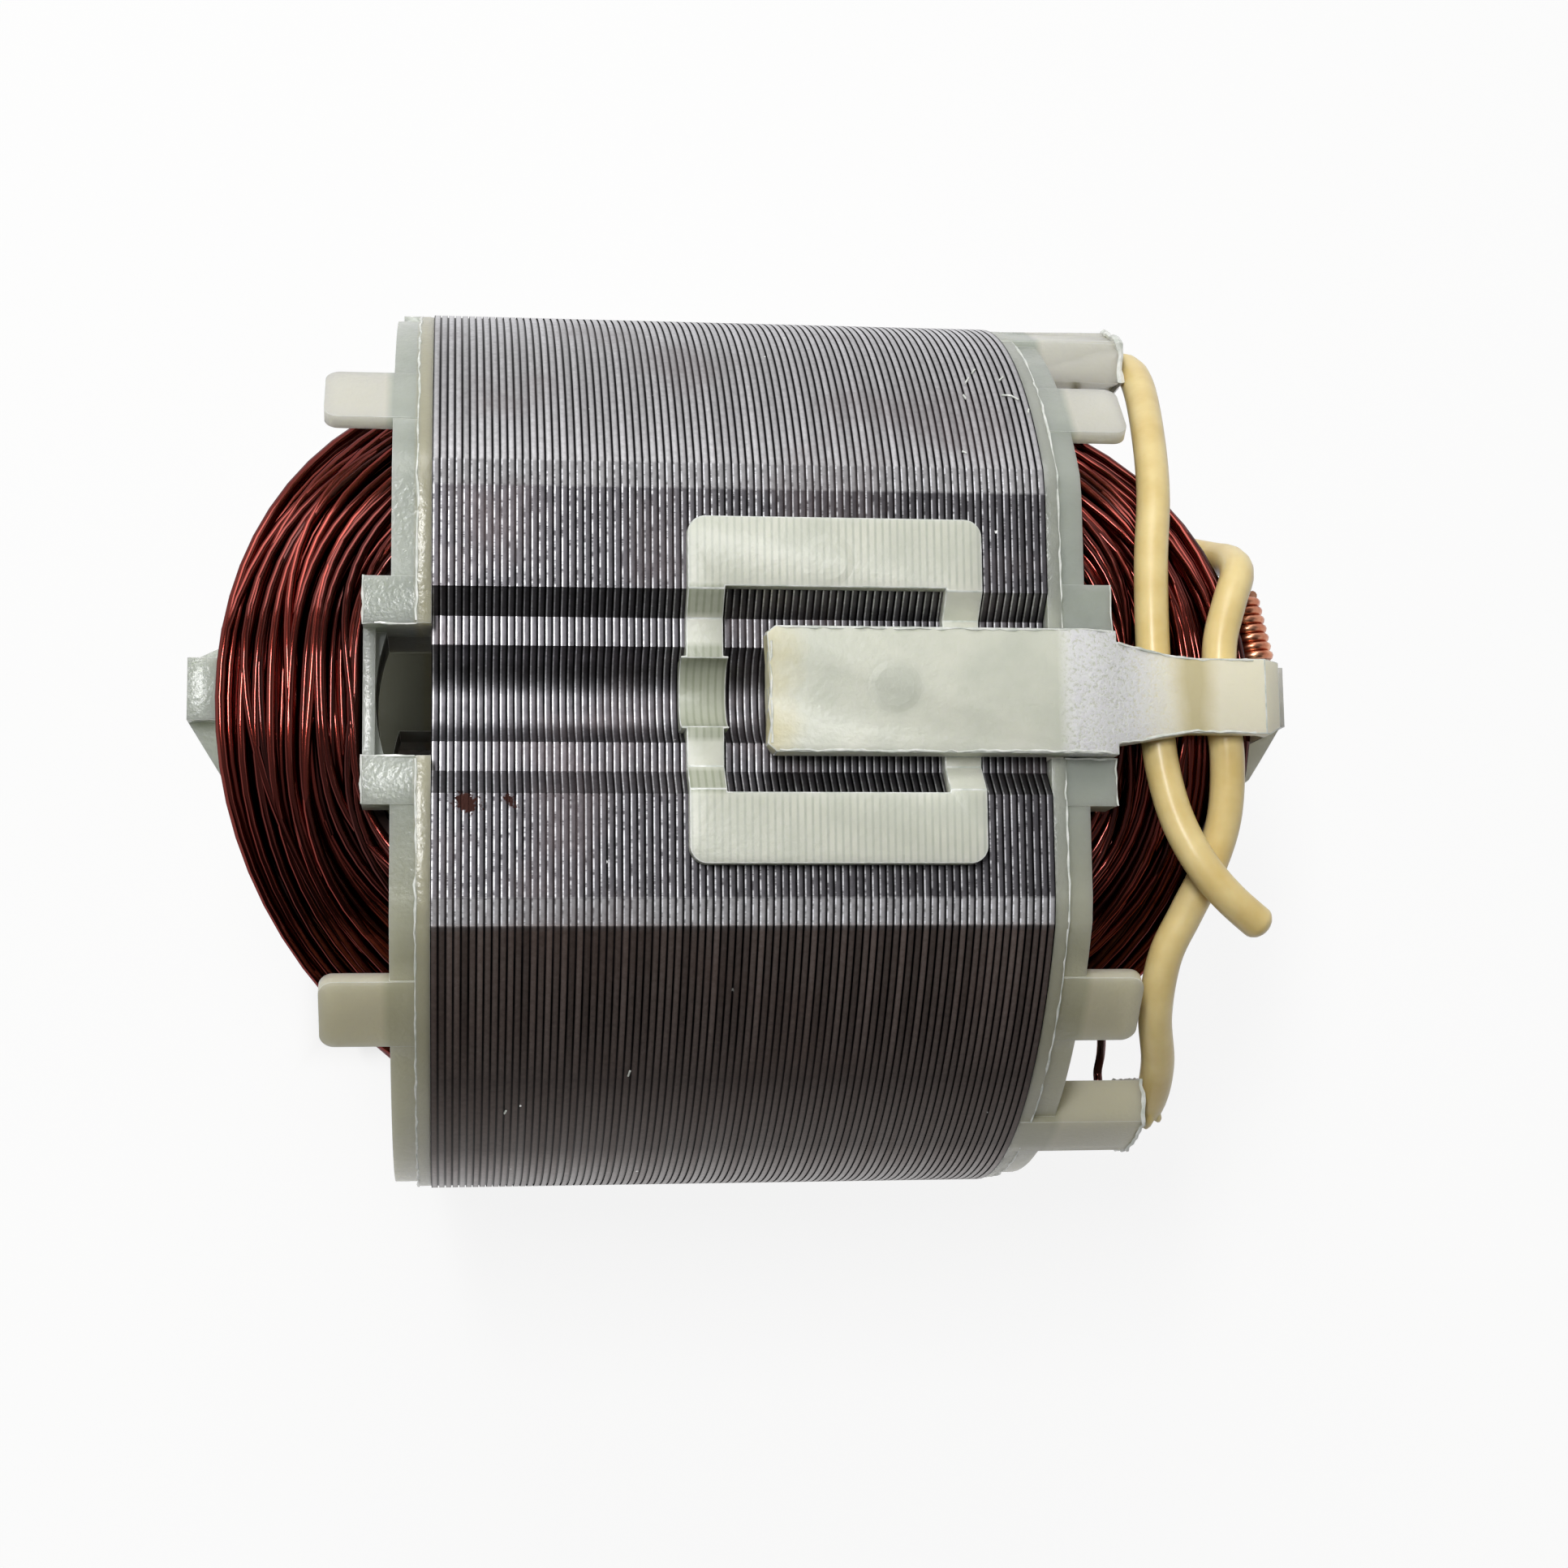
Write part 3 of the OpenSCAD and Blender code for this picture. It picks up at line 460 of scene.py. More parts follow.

# %% [markdown]
# The clip is the same nylon, but thin on the steel: the sheet lines are painted on its pads, and
# the leads on its tongue, where they would show through. The strap was heated where it bends over
# the leads, which left a frosted patch, and the cut end of the strap is cream. Two round marks come
# from the mould's ejector pins.

# %% Nylon of the clip: sheet lines and cream end
clip_finish, tree, shader, mm, axis = start_finish("clip_nylon")
cloud = add(tree, "TexNoise", {"Vector": mm, "Scale": 0.3, "Detail": 4.0})
ramp = add(tree, "ValToRGB", {0: cloud.outputs[0]})
milky = set_ramp(ramp, [(0.3, "#d7dacb"), (0.7, "#e7e8d9")])
sheet = add(tree, "Math", {0: axis["X"], 1: 1 / SHEET_T, 2: STACK_L / 2 / SHEET_T}, operation="MULTIPLY_ADD")
across = add(tree, "Math", {0: sheet.outputs[0], 1: 0.5}, operation="PINGPONG").outputs[0]
side = add(tree, "Math", {0: axis["Y"]}, operation="ABSOLUTE").outputs[0]
on_pad = add(tree, "MapRange", {0: side, 1: 6.6, 2: 7.4}).outputs[0]
line = add(tree, "MapRange", {0: across, 1: 0.24, 2: 0.08}).outputs[0]
faint = add(tree, "Math", {0: cloud.outputs[0], 1: 0.6}, operation="MULTIPLY").outputs[0]
shown = add(tree, "Math", {0: line, 1: on_pad}, operation="MULTIPLY").outputs[0]
shown = add(tree, "Math", {0: shown, 1: faint}, operation="MULTIPLY").outputs[0]
lined = add(tree, "Mix", {0: shown, 6: milky, 7: paint("#9aa498")}, data_type="RGBA").outputs[2]
# Cream end of the strap, which starts at x = 1.4
ragged = add(tree, "Math", {0: cloud.outputs[0], 1: 5.0, 2: axis["X"]},
             operation="MULTIPLY_ADD").outputs[0]
near_end = add(tree, "MapRange", {0: ragged, 1: 6.2, 2: 3.6}).outputs[0]
on_strap = add(tree, "MapRange", {0: axis["X"], 1: 0.6, 2: 1.0}).outputs[0]
in_strap = add(tree, "MapRange", {0: side, 1: 4.8, 2: 4.4}).outputs[0]
yellow = add(tree, "Math", {0: near_end, 1: on_strap}, operation="MULTIPLY").outputs[0]
yellow = add(tree, "Math", {0: yellow, 1: in_strap}, operation="MULTIPLY").outputs[0]
creamy = add(tree, "Mix", {0: yellow, 6: lined, 7: paint("#e2dab2")}, data_type="RGBA").outputs[2]
print("pads and strap are coloured")

# %% Nylon of the clip: tongue and bar
# Painted see-through: over the leads the tongue is painted with their cream, and the gap between them a
# darker yellow, a painted shade
tongue = add(tree, "MapRange", {0: axis["X"], 1: 25.5, 2: 28.0}).outputs[0]
off_gap = add(tree, "Math", {0: axis["X"], 1: 30.9}, operation="SUBTRACT").outputs[0]
off_gap = add(tree, "Math", {0: off_gap}, operation="ABSOLUTE").outputs[0]
off_gap = add(tree, "Math", {0: cloud.outputs[0], 1: 1.5, 2: off_gap},
              operation="MULTIPLY_ADD").outputs[0]
gap = add(tree, "MapRange", {0: off_gap, 1: 2.7, 2: 1.1}).outputs[0]
painted_see_through = add(tree, "Mix", {0: gap, 6: paint("#f8f1d8"), 7: paint("#d5caa0")},
            data_type="RGBA").outputs[2]
creamy = add(tree, "Mix", {0: tongue, 6: creamy, 7: painted_see_through}, data_type="RGBA").outputs[2]
# The plain-end bar is thin: it is painted grey, a painted shade, over the shaded keyway walls, and yellower
# over the groove
bar = add(tree, "MapRange", {0: axis["X"], 1: -0.8, 2: -1.2}).outputs[0]
off_pad = add(tree, "MapRange", {0: side, 1: 7.1, 2: 6.8}).outputs[0]
bar = add(tree, "Math", {0: bar, 1: off_pad}, operation="MULTIPLY").outputs[0]
over_wall = add(tree, "MapRange", {0: side, 1: 5.0, 2: 5.4}).outputs[0]
over_groove = add(tree, "MapRange", {0: side, 1: 3.4, 2: 3.0}).outputs[0]
painted_shade_under = add(tree, "Math", {0: over_wall, 1: over_groove}, operation="MAXIMUM").outputs[0]
painted_shade_under = add(tree, "Math", {0: painted_shade_under, 1: bar}, operation="MULTIPLY").outputs[0]
bar_line = add(tree, "Math", {0: line, 1: 0.3, 2: 0.55}, operation="MULTIPLY_ADD").outputs[0]
painted_shade_under = add(tree, "Math", {0: painted_shade_under, 1: bar_line}, operation="MULTIPLY").outputs[0]
creamy = add(tree, "Mix", {0: painted_shade_under, 6: creamy, 7: paint("#9da48b")},
             data_type="RGBA").outputs[2]
print("tongue and bar are coloured")

# %% Nylon of the clip: pin marks and frost
# The mark of the ejector pin on the strap is a soft darker disc
PIN_MARKS = ((5.5, 8.7, 30.6), (9.9, 0.2, 30.7))
from_pin = add(tree, "VectorMath", {0: mm, 1: PIN_MARKS[1]}, operation="DISTANCE").outputs["Value"]
disc = add(tree, "MapRange", {0: from_pin, 1: 2.2, 2: 1.2, 4: 0.3}).outputs[0]
creamy = add(tree, "Mix", {0: disc, 6: creamy, 7: paint("#a9b0a4")}, data_type="RGBA").outputs[2]
# Frosted patch with crystals of about 0.25 mm
frost_in = add(tree, "MapRange", {0: axis["X"], 1: 21.0, 2: 22.2}).outputs[0]
frost_out = add(tree, "MapRange", {0: axis["X"], 1: 30.0, 2: 26.0}).outputs[0]
frost = add(tree, "Math", {0: frost_in, 1: frost_out}, operation="MULTIPLY").outputs[0]
crystals = add(tree, "TexNoise", {"Vector": mm, "Scale": 4.0, "Detail": 4.0, "Roughness": 0.75})
sharp = add(tree, "MapRange", {0: crystals.outputs[0], 1: 0.38, 2: 0.49}).outputs[0]
frosted = add(tree, "Math", {0: sharp, 1: frost}, operation="MULTIPLY").outputs[0]
white = add(tree, "Mix", {0: frosted, 6: creamy, 7: paint("#ffffff")}, data_type="RGBA").outputs[2]
tree.links.new(white, shader.inputs["Base Color"])
# Height of the crystals, of a fine grain and of the two pin marks
height = add(tree, "Math", {0: crystals.outputs[0], 1: frost}, operation="MULTIPLY").outputs[0]
grain = add(tree, "TexNoise", {"Vector": mm, "Scale": 2.0, "Detail": 3.0})
height = add(tree, "Math", {0: grain.outputs[0], 1: 0.25, 2: height},
             operation="MULTIPLY_ADD").outputs[0]
for pin in PIN_MARKS:
    away = add(tree, "VectorMath", {0: mm, 1: pin}, operation="DISTANCE").outputs["Value"]
    ring = add(tree, "MapRange", {0: away, 1: 1.8, 2: 1.3}).outputs[0]
    height = add(tree, "Math", {0: ring, 1: 0.35, 2: height}, operation="MULTIPLY_ADD").outputs[0]
bump = add(tree, "Bump", {"Height": height, "Strength": 0.9, "Distance": 0.00018})
tree.links.new(bump.outputs[0], shader.inputs["Normal"])
tune(shader, {"Transmission Weight": 0.15, "Roughness": 0.42, "IOR": 1.53, "Subsurface Weight": 0.5,
              "Subsurface Radius": (1.0, 1.05, 0.9), "Subsurface Scale": 0.0012})
print("made", clip_finish.name)

# %% [markdown]
# ## Soft edges on the mouldings
# A solid from CAD has knife edges, and its mesh is loose triangles. A copy is merged, its flat
# triangles are joined to larger faces, and a Bevel modifier rounds each sharp edge, as the mould
# does on the real nylon. Before that, the strap's torn end and the mouth of one pocket, which was
# melted shut round its lead, are cut up and shaken a little.

# %% Merge, fray and bevel
def merged_copy(node, name):
    """Copy of a solid with its loose triangles merged."""
    piece = bpy.data.objects.new(name, solids[node].data.copy())
    bpy.context.scene.collection.objects.link(piece)
    pick(piece)
    bpy.ops.mesh.customdata_custom_splitnormals_clear()
    bpy.ops.object.mode_set(mode="EDIT")
    bpy.ops.mesh.select_all(action="SELECT")
    bpy.ops.mesh.remove_doubles(threshold=0.002 * MM)
    bpy.ops.mesh.dissolve_limited(angle_limit=math.radians(0.3))
    bpy.ops.object.mode_set(mode="OBJECT")
    return piece


def choose_faces(piece, test):
    """Opens a piece in edit mode with only the faces selected that pass a test."""
    pick(piece)
    bpy.ops.object.mode_set(mode="EDIT")
    bpy.ops.mesh.select_mode(type="FACE")
    bpy.ops.mesh.select_all(action="DESELECT")
    bpy.ops.object.mode_set(mode="OBJECT")
    for face in piece.data.polygons:
        face.select = test(face)
    bpy.ops.object.mode_set(mode="EDIT")


def fray(piece, test, cuts, amount, seed):
    """Cuts up the faces that pass a test and moves their points a little."""
    choose_faces(piece, test)
    bpy.ops.mesh.subdivide(number_cuts=cuts)
    bpy.ops.transform.vertex_random(offset=amount * MM, uniform=1.0, normal=0.0, seed=seed)
    bpy.ops.object.mode_set(mode="OBJECT")


def soften(piece, width):
    """Rounds the sharp edges of a piece. The rounded faces wear its last finish."""
    pick(piece)
    rounding = piece.modifiers.new("rounding", "BEVEL")
    rounding.width = width * MM
    rounding.segments = 2
    rounding.limit_method = "ANGLE"
    rounding.angle_limit = math.radians(35)
    rounding.material = len(piece.data.materials) - 1
    bpy.ops.object.modifier_apply(modifier=rounding.name)
    bpy.ops.object.shade_smooth_by_angle(angle=math.radians(35))


print("helpers for mouldings are ready")

# %% Mouldings
POCKET_TOP = 29.85
STRAP_END = 1.4
mouldings = {}
for node, width, finish in (("plain_end_frame", 0.16, nylon_finish), ("lead_end_frame", 0.16, nylon_finish),
                            ("lead_clip", 0.22, clip_finish)):
    moulding = merged_copy(node, node + "_moulding")
    wear(moulding, finish)
    moulding.data.materials.append(edge_highlight_finish)
    if node == "lead_clip":
        fray(moulding, lambda f: f.normal.x < -0.9 and abs(f.center.x / MM - STRAP_END) < 0.05, 5, 0.14, 3)
    if node == "lead_end_frame":
        fray(moulding, lambda f: f.normal.x > 0.9 and abs(f.center.x / MM - POCKET_TOP) < 0.05
             and f.center.y > 0 and f.center.z > 0, 2, 0.2, 8)
    soften(moulding, width)
    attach(moulding, "root")
    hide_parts(node)
    mouldings[node] = moulding
    print(moulding.name, len(moulding.data.polygons), "faces")

# %% [markdown]
# ## Moulding flash
# Where the mould's halves meet, nylon creeps out into a thin uneven bead: along the flange round
# the core and on the edges of the stop blocks and the strap. The mouths of the pockets were heated
# and have a thicker lip. A wire with an uneven thickness draws each of them, and the few crumbs of
# flash that lie on the round side of the stack.

# %% Lines of the beads
END_X = STACK_L / 2
FLANGE_X, FLANGE_IN = 0.96, 0.2
STOP_X, STOP_Z = 4.5, 29.0
WINDOW_HW, STOP_HW = 4.4, 7.6
CORE_R, FLAT_Z, FLAT_HW, FACET_SLOPE = 33.0, 29.4, 13.8, math.tan(math.radians(10))


def rim_radius(angle):
    """Radius of the flange's outline at an angle from the flat's normal."""
    up, out = abs(math.cos(angle)), abs(math.sin(angle))
    top = FLAT_Z - FLANGE_IN
    facet = (top + FLAT_HW * FACET_SLOPE) / (up + out * FACET_SLOPE)
    return min(CORE_R - FLANGE_IN, top / max(up, 0.01), facet)


def beads_of(end):
    """Lines of the beads on one frame."""
    lines = []
    for side in (1, -1):
        angles = [math.radians(9 + 162 * k / 120) for k in range(121)]
        lines.append([(end * (END_X + FLANGE_X), side * rim_radius(a) * math.sin(a),
                       rim_radius(a) * math.cos(a)) for a in angles])
        for pole in (1, -1):
            along = [(end * (END_X + 1 + (STOP_X - 1) * k / 6), side * WINDOW_HW, pole * STOP_Z)
                     for k in range(7)]
            across = [(end * (END_X + STOP_X), side * (WINDOW_HW + (STOP_HW - WINDOW_HW) * k / 5),
                       pole * STOP_Z) for k in range(1, 6)]
            lines.append(along + across)
    return lines


# Edge of a pocket's mouth, as (y, z) in the upper front quarter
MOUTH = [(25.8, 8.0), (25.8, 16.0), (28.75, 16.0), (29.6, 14.4), (30.3, 12.9), (30.8, 11.56), (30.8, 8.0)]


def lip_of(side, pole):
    """Line round a pocket's mouth with a point about every half millimetre."""
    line = []
    for (y0, z0), (y1, z1) in zip(MOUTH, MOUTH[1:] + MOUTH[:1]):
        steps = max(1, round(math.hypot(y1 - y0, z1 - z0) / 0.5))
        line += [(POCKET_TOP, side * (y0 + (y1 - y0) * k / steps), pole * (z0 + (z1 - z0) * k / steps))
                 for k in range(steps)]
    return line + line[:1]


def dropped(piece, x, y):
    """Point on a piece straight below a place above it, in millimetres."""
    point = piece.ray_cast(Vector((x, y, 40)) * MM, Vector((0, 0, -1)))[1]
    return [c / MM for c in point]


# Edges of the strap in plan: its cut end, its two sides and the sides of the tongue
STRAP_EDGES = [[(2.1, -4.13), (25.1, -4.13)], [(1.6, -3.7), (1.6, 3.7)], [(2.1, 4.13), (25.1, 4.13)],
               [(25.4, 3.38), (30.5, 2.5), (35.6, 2.5)], [(25.4, -3.38), (30.5, -2.5), (35.6, -2.5)]]


def strap_beads():
    """Lines along the strap's edges, with a point about every half millimetre."""
    lines = []
    for corners in STRAP_EDGES:
        line = []
        for (x0, y0), (x1, y1) in zip(corners, corners[1:]):
            steps = round(math.hypot(x1 - x0, y1 - y0) / 0.5)
            line += [dropped(mouldings["lead_clip"], x0 + (x1 - x0) * k / steps, y0 + (y1 - y0) * k / steps)
                     for k in range(steps)]
        lines.append(line)
    return lines


print("bead lines are planned, with", len(MOUTH), "corners round a pocket's mouth")

# %% Draw the flash
FLASH_D = 0.16
QUARTERS = ((1, 1), (-1, 1), (1, -1), (-1, -1))
# Lips are thicker than the beads, most of all where one pocket was melted shut
LIP, MELTED_LIP = 2.4, 4.6
# Crumbs on the round side, as places along it and angles from the flat's normal
CRUMB_R, CRUMB = CORE_R + 0.05, 0.9
CRUMBS = [
    [(18.95, 42.0), (19.6, 41.9), (20.1, 41.0)], [(16.6, 44.7), (16.95, 46.0)], [(17.3, 47.3), (17.6, 48.3)],
    [(16.3, 40.9), (16.2, 41.8)], [(15.25, 30.9), (15.55, 30.6)], [(19.1, 45.5), (19.45, 46.4)],
    [(20.5, 38.2), (20.6, 39.0)], [(-7.4, -49.8), (-7.3, -48.9)], [(-15.7, -56.8), (-15.6, -56.2)],
]
for node, end, seed in (("plain_end_frame", -1, 5), ("lead_end_frame", 1, 6), ("lead_clip", 0, 7)):
    luck = random.Random(seed)
    beads = [[[c + luck.gauss(0, 0.035) for c in p] for p in line]
             for line in (beads_of(end) if end else strap_beads())]
    thick = [[luck.uniform(0.45, 1.5) for _ in line] for line in beads]
    if end == 1:
        for side, pole in QUARTERS:
            lip = lip_of(side, pole)
            melted = MELTED_LIP if (side, pole) == (1, 1) else LIP
            beads.append([[c + luck.gauss(0, 0.06) for c in p] for p in lip])
            thick.append([luck.uniform(0.5, 1.0) * melted for _ in lip])
        for line in CRUMBS:
            beads.append([(x, CRUMB_R * math.sin(math.radians(a)), CRUMB_R * math.cos(math.radians(a)))
                          for x, a in line])
            thick.append([CRUMB] * len(line))
    flash = wire_piece(node + "_flash", beads, FLASH_D, smoothness=1, thickness=thick)
    meshed(flash, 50)
    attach(flash, "root")
    wear(flash, edge_highlight_finish)
    print(flash.name, len(beads), "beads")

# %% [markdown]
# ## Coils
# Each coil is about a hundred turns of 0.65 mm wire, wound in a former and pressed over its pole.
# The turns run straight through the slots and fan out over both ends, where they cross each
# other. One ridged solid can't show that, so each turn is drawn as its own closed wire, with a
# little luck in where it lies. A shrunken copy of the solid fills the inside of the bundle.

# %% Path of a turn
R_IN, R_OUT = 20.8, 27.4
ANGLE_IN, ANGLE_OUT = 23.8, 64.0
STRAIGHT, HEAD_IN = 1.25, 4.8
HEADS = {1: 15.2, -1: 14.2}
CROWN_IN, CROWN_OUT = 20.0, 25.4
WIRE_D = 0.65
# Lacquer makes a turn a little thicker than its copper
LACQUER = 1.12
STEPS = 24


def head_place(depth, share, t, end):
    """Place of a turn on a coil head: t runs from one slot (1) to the other (-1)."""
    lift = 1 - abs(t) ** (2 + 1.6 * (1 - share))
    slot_r = R_IN + (R_OUT - R_IN) * depth
    crown_r = CROWN_IN + (CROWN_OUT - CROWN_IN) * depth
    r = slot_r + (crown_r - slot_r) * lift
    angle = math.radians(t * (ANGLE_IN + (ANGLE_OUT - ANGLE_IN) * share))
    height = HEAD_IN + (HEADS[end] - HEAD_IN) * share
    x = end * (END_X + STRAIGHT + (height - STRAIGHT) * lift)
    return x, r * math.sin(angle), r * math.cos(angle)


def hold(value):
    """Keeps a share inside the bundle."""
    return min(0.97, max(0.03, value))


def wound_turn(luck, depth, share, stray, pole):
    """One closed turn near a depth and share of the bundle."""
    shares = [share + luck.gauss(0, stray) for _ in range(2)]
    depths = [depth + luck.gauss(0, 0.012) for _ in range(2)]
    line = []
    for end in (1, -1):
        sway, phase = luck.gauss(0, stray * 0.6), luck.uniform(0.6, 1.8)
        for k in range(STEPS + 1):
            t = end * (1 - 2 * k / STEPS)
            mix = (1 - t) / 2
            wave = sway * math.sin(math.pi * mix) * math.sin(phase * math.pi * mix)
            here = hold(shares[0] + (shares[1] - shares[0]) * mix + wave)
            deep = depths[0] + (depths[1] - depths[0]) * mix
            x, y, z = head_place(deep, here, t, end)
            line.append((x, y, pole * z))
    return line


def wind_coil(seed, pole):
    """All the turns that can be seen: layers outside, at the ends, inside and on the flank."""
    luck = random.Random(seed)
    plan = [(0.80, k / 21, 0.03) for k in range(22)]
    plan += [(0.88, (k + 0.5) / 22, 0.06) for k in range(22)]
    plan += [(0.975, luck.uniform(0.05, 0.95), 0.15) for _ in range(20)]
    plan += [(0.1 + 0.8 * k / 9, 0.96, 0.012) for k in range(10)]
    plan += [(0.1 + 0.8 * k / 9, 0.90, 0.02) for k in range(10)]
    plan += [(0.08, (k + 0.5) / 18, 0.02) for k in range(18)]
    plan += [(0.15 + 0.7 * k / 6, 0.04, 0.01) for k in range(7)]
    return [wound_turn(luck, depth, share, stray, pole) for depth, share, stray in plan]


print("a turn has", 2 * (STEPS + 1), "points")

# %% Wind both coils
INSIDE_GAP = 1.1
coils = {}
for node, seed, pole in (("front_coil", 11, 1), ("rear_coil", 29, -1)):
    turns = wind_coil(seed, pole)
    coil = wire_piece(node + "_turns", turns, WIRE_D * LACQUER, closed=True, smoothness=1)
    pick(coil)
    bpy.ops.object.convert(target="MESH")
    per_turn = len(coil.data.vertices) // len(turns)
    luck = random.Random(seed + 1)
    shade = [luck.random() for _ in turns]
    mark = coil.data.attributes.new("turn_shade", "FLOAT", "POINT")
    mark.data.foreach_set("value", [shade[min(i // per_turn, len(turns) - 1)]
                                    for i in range(len(coil.data.vertices))])
    bpy.ops.object.shade_smooth()
    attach(coil, "root")
    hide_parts(node)
    core = merged_copy(node, node + "_inside")
    bpy.ops.object.mode_set(mode="EDIT")
    bpy.ops.mesh.select_all(action="SELECT")
    bpy.ops.transform.shrink_fatten(value=-INSIDE_GAP * MM)
    bpy.ops.object.mode_set(mode="OBJECT")
    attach(core, "root")
    coils[node] = (coil, core)
    print(coil.name, len(turns), "turns,", len(coil.data.polygons), "faces")

# %% [markdown]
# Enamelled copper is metal under a clear red-brown lacquer. A metallic base with a thin glossy coat
# gives the long bright lines along each turn, and every turn gets its own shade. The filling of the
# bundle only shows in narrow gaps, so it is painted a dull dark red, a painted shade.

# %% Enamelled copper
enamel_finish, tree, shader, mm, axis = start_finish("enamelled_copper")
shade = add(tree, "Attribute", attribute_name="turn_shade").outputs["Fac"]
ramp = add(tree, "ValToRGB", {0: shade})
tree.links.new(set_ramp(ramp, [(0.0, "#3d100a"), (0.5, "#601f16"), (1.0, "#823228")]),
               shader.inputs["Base Color"])
smear = add(tree, "TexNoise", {"Vector": mm, "Scale": 0.5, "Detail": 2.0})
gloss = add(tree, "MapRange", {0: smear.outputs[0], 3: 0.08, 4: 0.22}).outputs[0]
tree.links.new(gloss, shader.inputs["Roughness"])
tune(shader, {"Metallic": 1.0, "Specular Tint": paint("#b05a48"), "Coat Weight": 0.35,
              "Coat Roughness": 0.08, "Coat IOR": 1.6})
# Painted shade: the filling between the turns is a dull, almost black red
gap_shade_finish, tree, shader, mm, axis = start_finish("shaded_enamel")
clouded(tree, shader, mm, [(0.3, "#1c0806"), (0.7, "#34100b")], Scale=0.8)
tune(shader, {"Roughness": 0.6})
for coil, core in coils.values():
    wear(coil, enamel_finish)
    wear(core, gap_shade_finish)
print("coils wear", enamel_finish.name)

# %% [markdown]
# ## Coil tails
# The start and end of each coil run in a short bend to a slot in the pocket wall. They are the
# same wire, drawn along one route four times, mirrored into each quarter.

# %% Coil tails
TAIL = [(25.95, 20.91, 17.55), (27.15, 22.47, 15.15), (27.75, 23.8, 12.65), (27.75, 25.0, 11.6),
        (27.75, 25.8, 11.6), (27.75, 26.8, 11.6)]
for k, (side_y, side_z) in enumerate(QUARTERS, 1):
    line = spline_through([(x, side_y * y, side_z * z) for x, y, z in TAIL], 5)
    tail = wire_piece(f"coil_tail_{k}_wire", [line], WIRE_D, smoothness=3)
    meshed(tail, 40)
    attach(tail, "root")
    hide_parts(f"coil_tail_{k}")
    wear(tail, enamel_finish)
print("four tails of", round(length_of(line), 1), "mm")

# %% [markdown]
# ## Copper sleeve
# A bare wire is wound close round the end of a joint beside the horn. A helix of real wire shows
# its turns from every side.

# %% Copper sleeve
SLEEVE_MID = Vector((36.85, 6.0, 22.4))
SLEEVE_R = 1.35
SLEEVE_TURNS = 8
# The turns touch, so the wire is a little thicker than their spacing
TOUCH = 1.02
lean = math.radians(12)
along = Vector((-math.sin(lean), math.cos(lean), 0))
out = Vector((math.cos(lean), math.sin(lean), 0))
coil_r = SLEEVE_R - WIRE_D / 2
ROUND = 16
helix = []
for k in range((SLEEVE_TURNS - 1) * ROUND + 1):
    angle = 2 * math.pi * k / ROUND
    rise = (k / ROUND - (SLEEVE_TURNS - 1) / 2) * WIRE_D
    helix.append(SLEEVE_MID + along * rise
                 + (out * math.cos(angle) + Vector((0, 0, 1)) * math.sin(angle)) * coil_r)
sleeve = wire_piece("wire_sleeve_turns", [helix], WIRE_D * TOUCH, smoothness=3)
meshed(sleeve, 40)
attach(sleeve, "root")
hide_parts("wire_sleeve")
copper_finish, tree, shader, mm, axis = start_finish("bare_copper_wire")
clouded(tree, shader, mm, [(0.35, "#b4664b"), (0.65, "#e0a586")], Scale=0.9, Detail=3.0)
tune(shader, {"Metallic": 1.0, "Roughness": 0.3})
wear(sleeve, copper_finish)
print(sleeve.name, len(sleeve.data.polygons), "faces")

# %% [markdown]
# ## Slot paper and terminals
# Both sit deep inside and keep their solids. The paper is a tan fibre board with short fibres, and
# the terminals are tinned brass with a soft grey sheen.

# %% Slot paper and tinned brass
paper_finish, tree, shader, mm, axis = start_finish("slot_paper")
clouded(tree, shader, mm, [(0.35, "#b9a67a"), (0.65, "#d3c49c")], Scale=1.6, Detail=5.0, Roughness=0.7)
tune(shader, {"Roughness": 0.85})
tin_finish, tree, shader, mm, axis = start_finish("tinned_brass")
clouded(tree, shader, mm, [(0.35, "#a9a9a4"), (0.65, "#cfcfca")], Scale=1.2, Detail=3.0)
tune(shader, {"Metallic": 1.0, "Roughness": 0.4})
for k in range(1, 5):
    wear(solids[f"slot_liner_{k}"], paper_finish)
    wear(solids[f"terminal_{k}"], tin_finish)
print("liners and terminals are dressed")

# %% [markdown]
# ## Floor and light
# The part lies on a plain white table that sweeps up to a round wall. Both show as white to the
# camera and in reflections, and keep a soft shadow, also right under the part. One wide lamp stands
# beyond the upper edge of the picture, and a narrow one near the camera draws thin lines of light
# on the wire. As in a photo studio, a dark card beyond the lower edge, which the camera doesn't
# see, gives the metal something dark to mirror.

# %% Table and sweep
FLOOR_Z = -29.4
bpy.ops.object.select_all(action="DESELECT")
bpy.ops.mesh.primitive_cylinder_add(vertices=96, radius=2, depth=1.6, end_fill_type="NGON",
                                    location=(0, 0, 0.8 + (FLOOR_Z - 0.05) * MM))
floor = bpy.context.object
floor.name = "table_and_sweep"
bpy.ops.object.transform_apply(location=True, rotation=False, scale=False)
choose_faces(floor, lambda f: f.normal.z > 0.9)
bpy.ops.mesh.delete(type="FACE")
bpy.ops.mesh.select_all(action="SELECT")
bpy.ops.mesh.flip_normals()
bpy.ops.object.mode_set(mode="OBJECT")
sweep = floor.modifiers.new("sweep", "BEVEL")
sweep.width = 0.5
sweep.segments = 10
bpy.ops.object.modifier_apply(modifier=sweep.name)
bpy.ops.object.shade_smooth_by_angle(angle=math.radians(40))
print("floor at", FLOOR_Z, "mm")

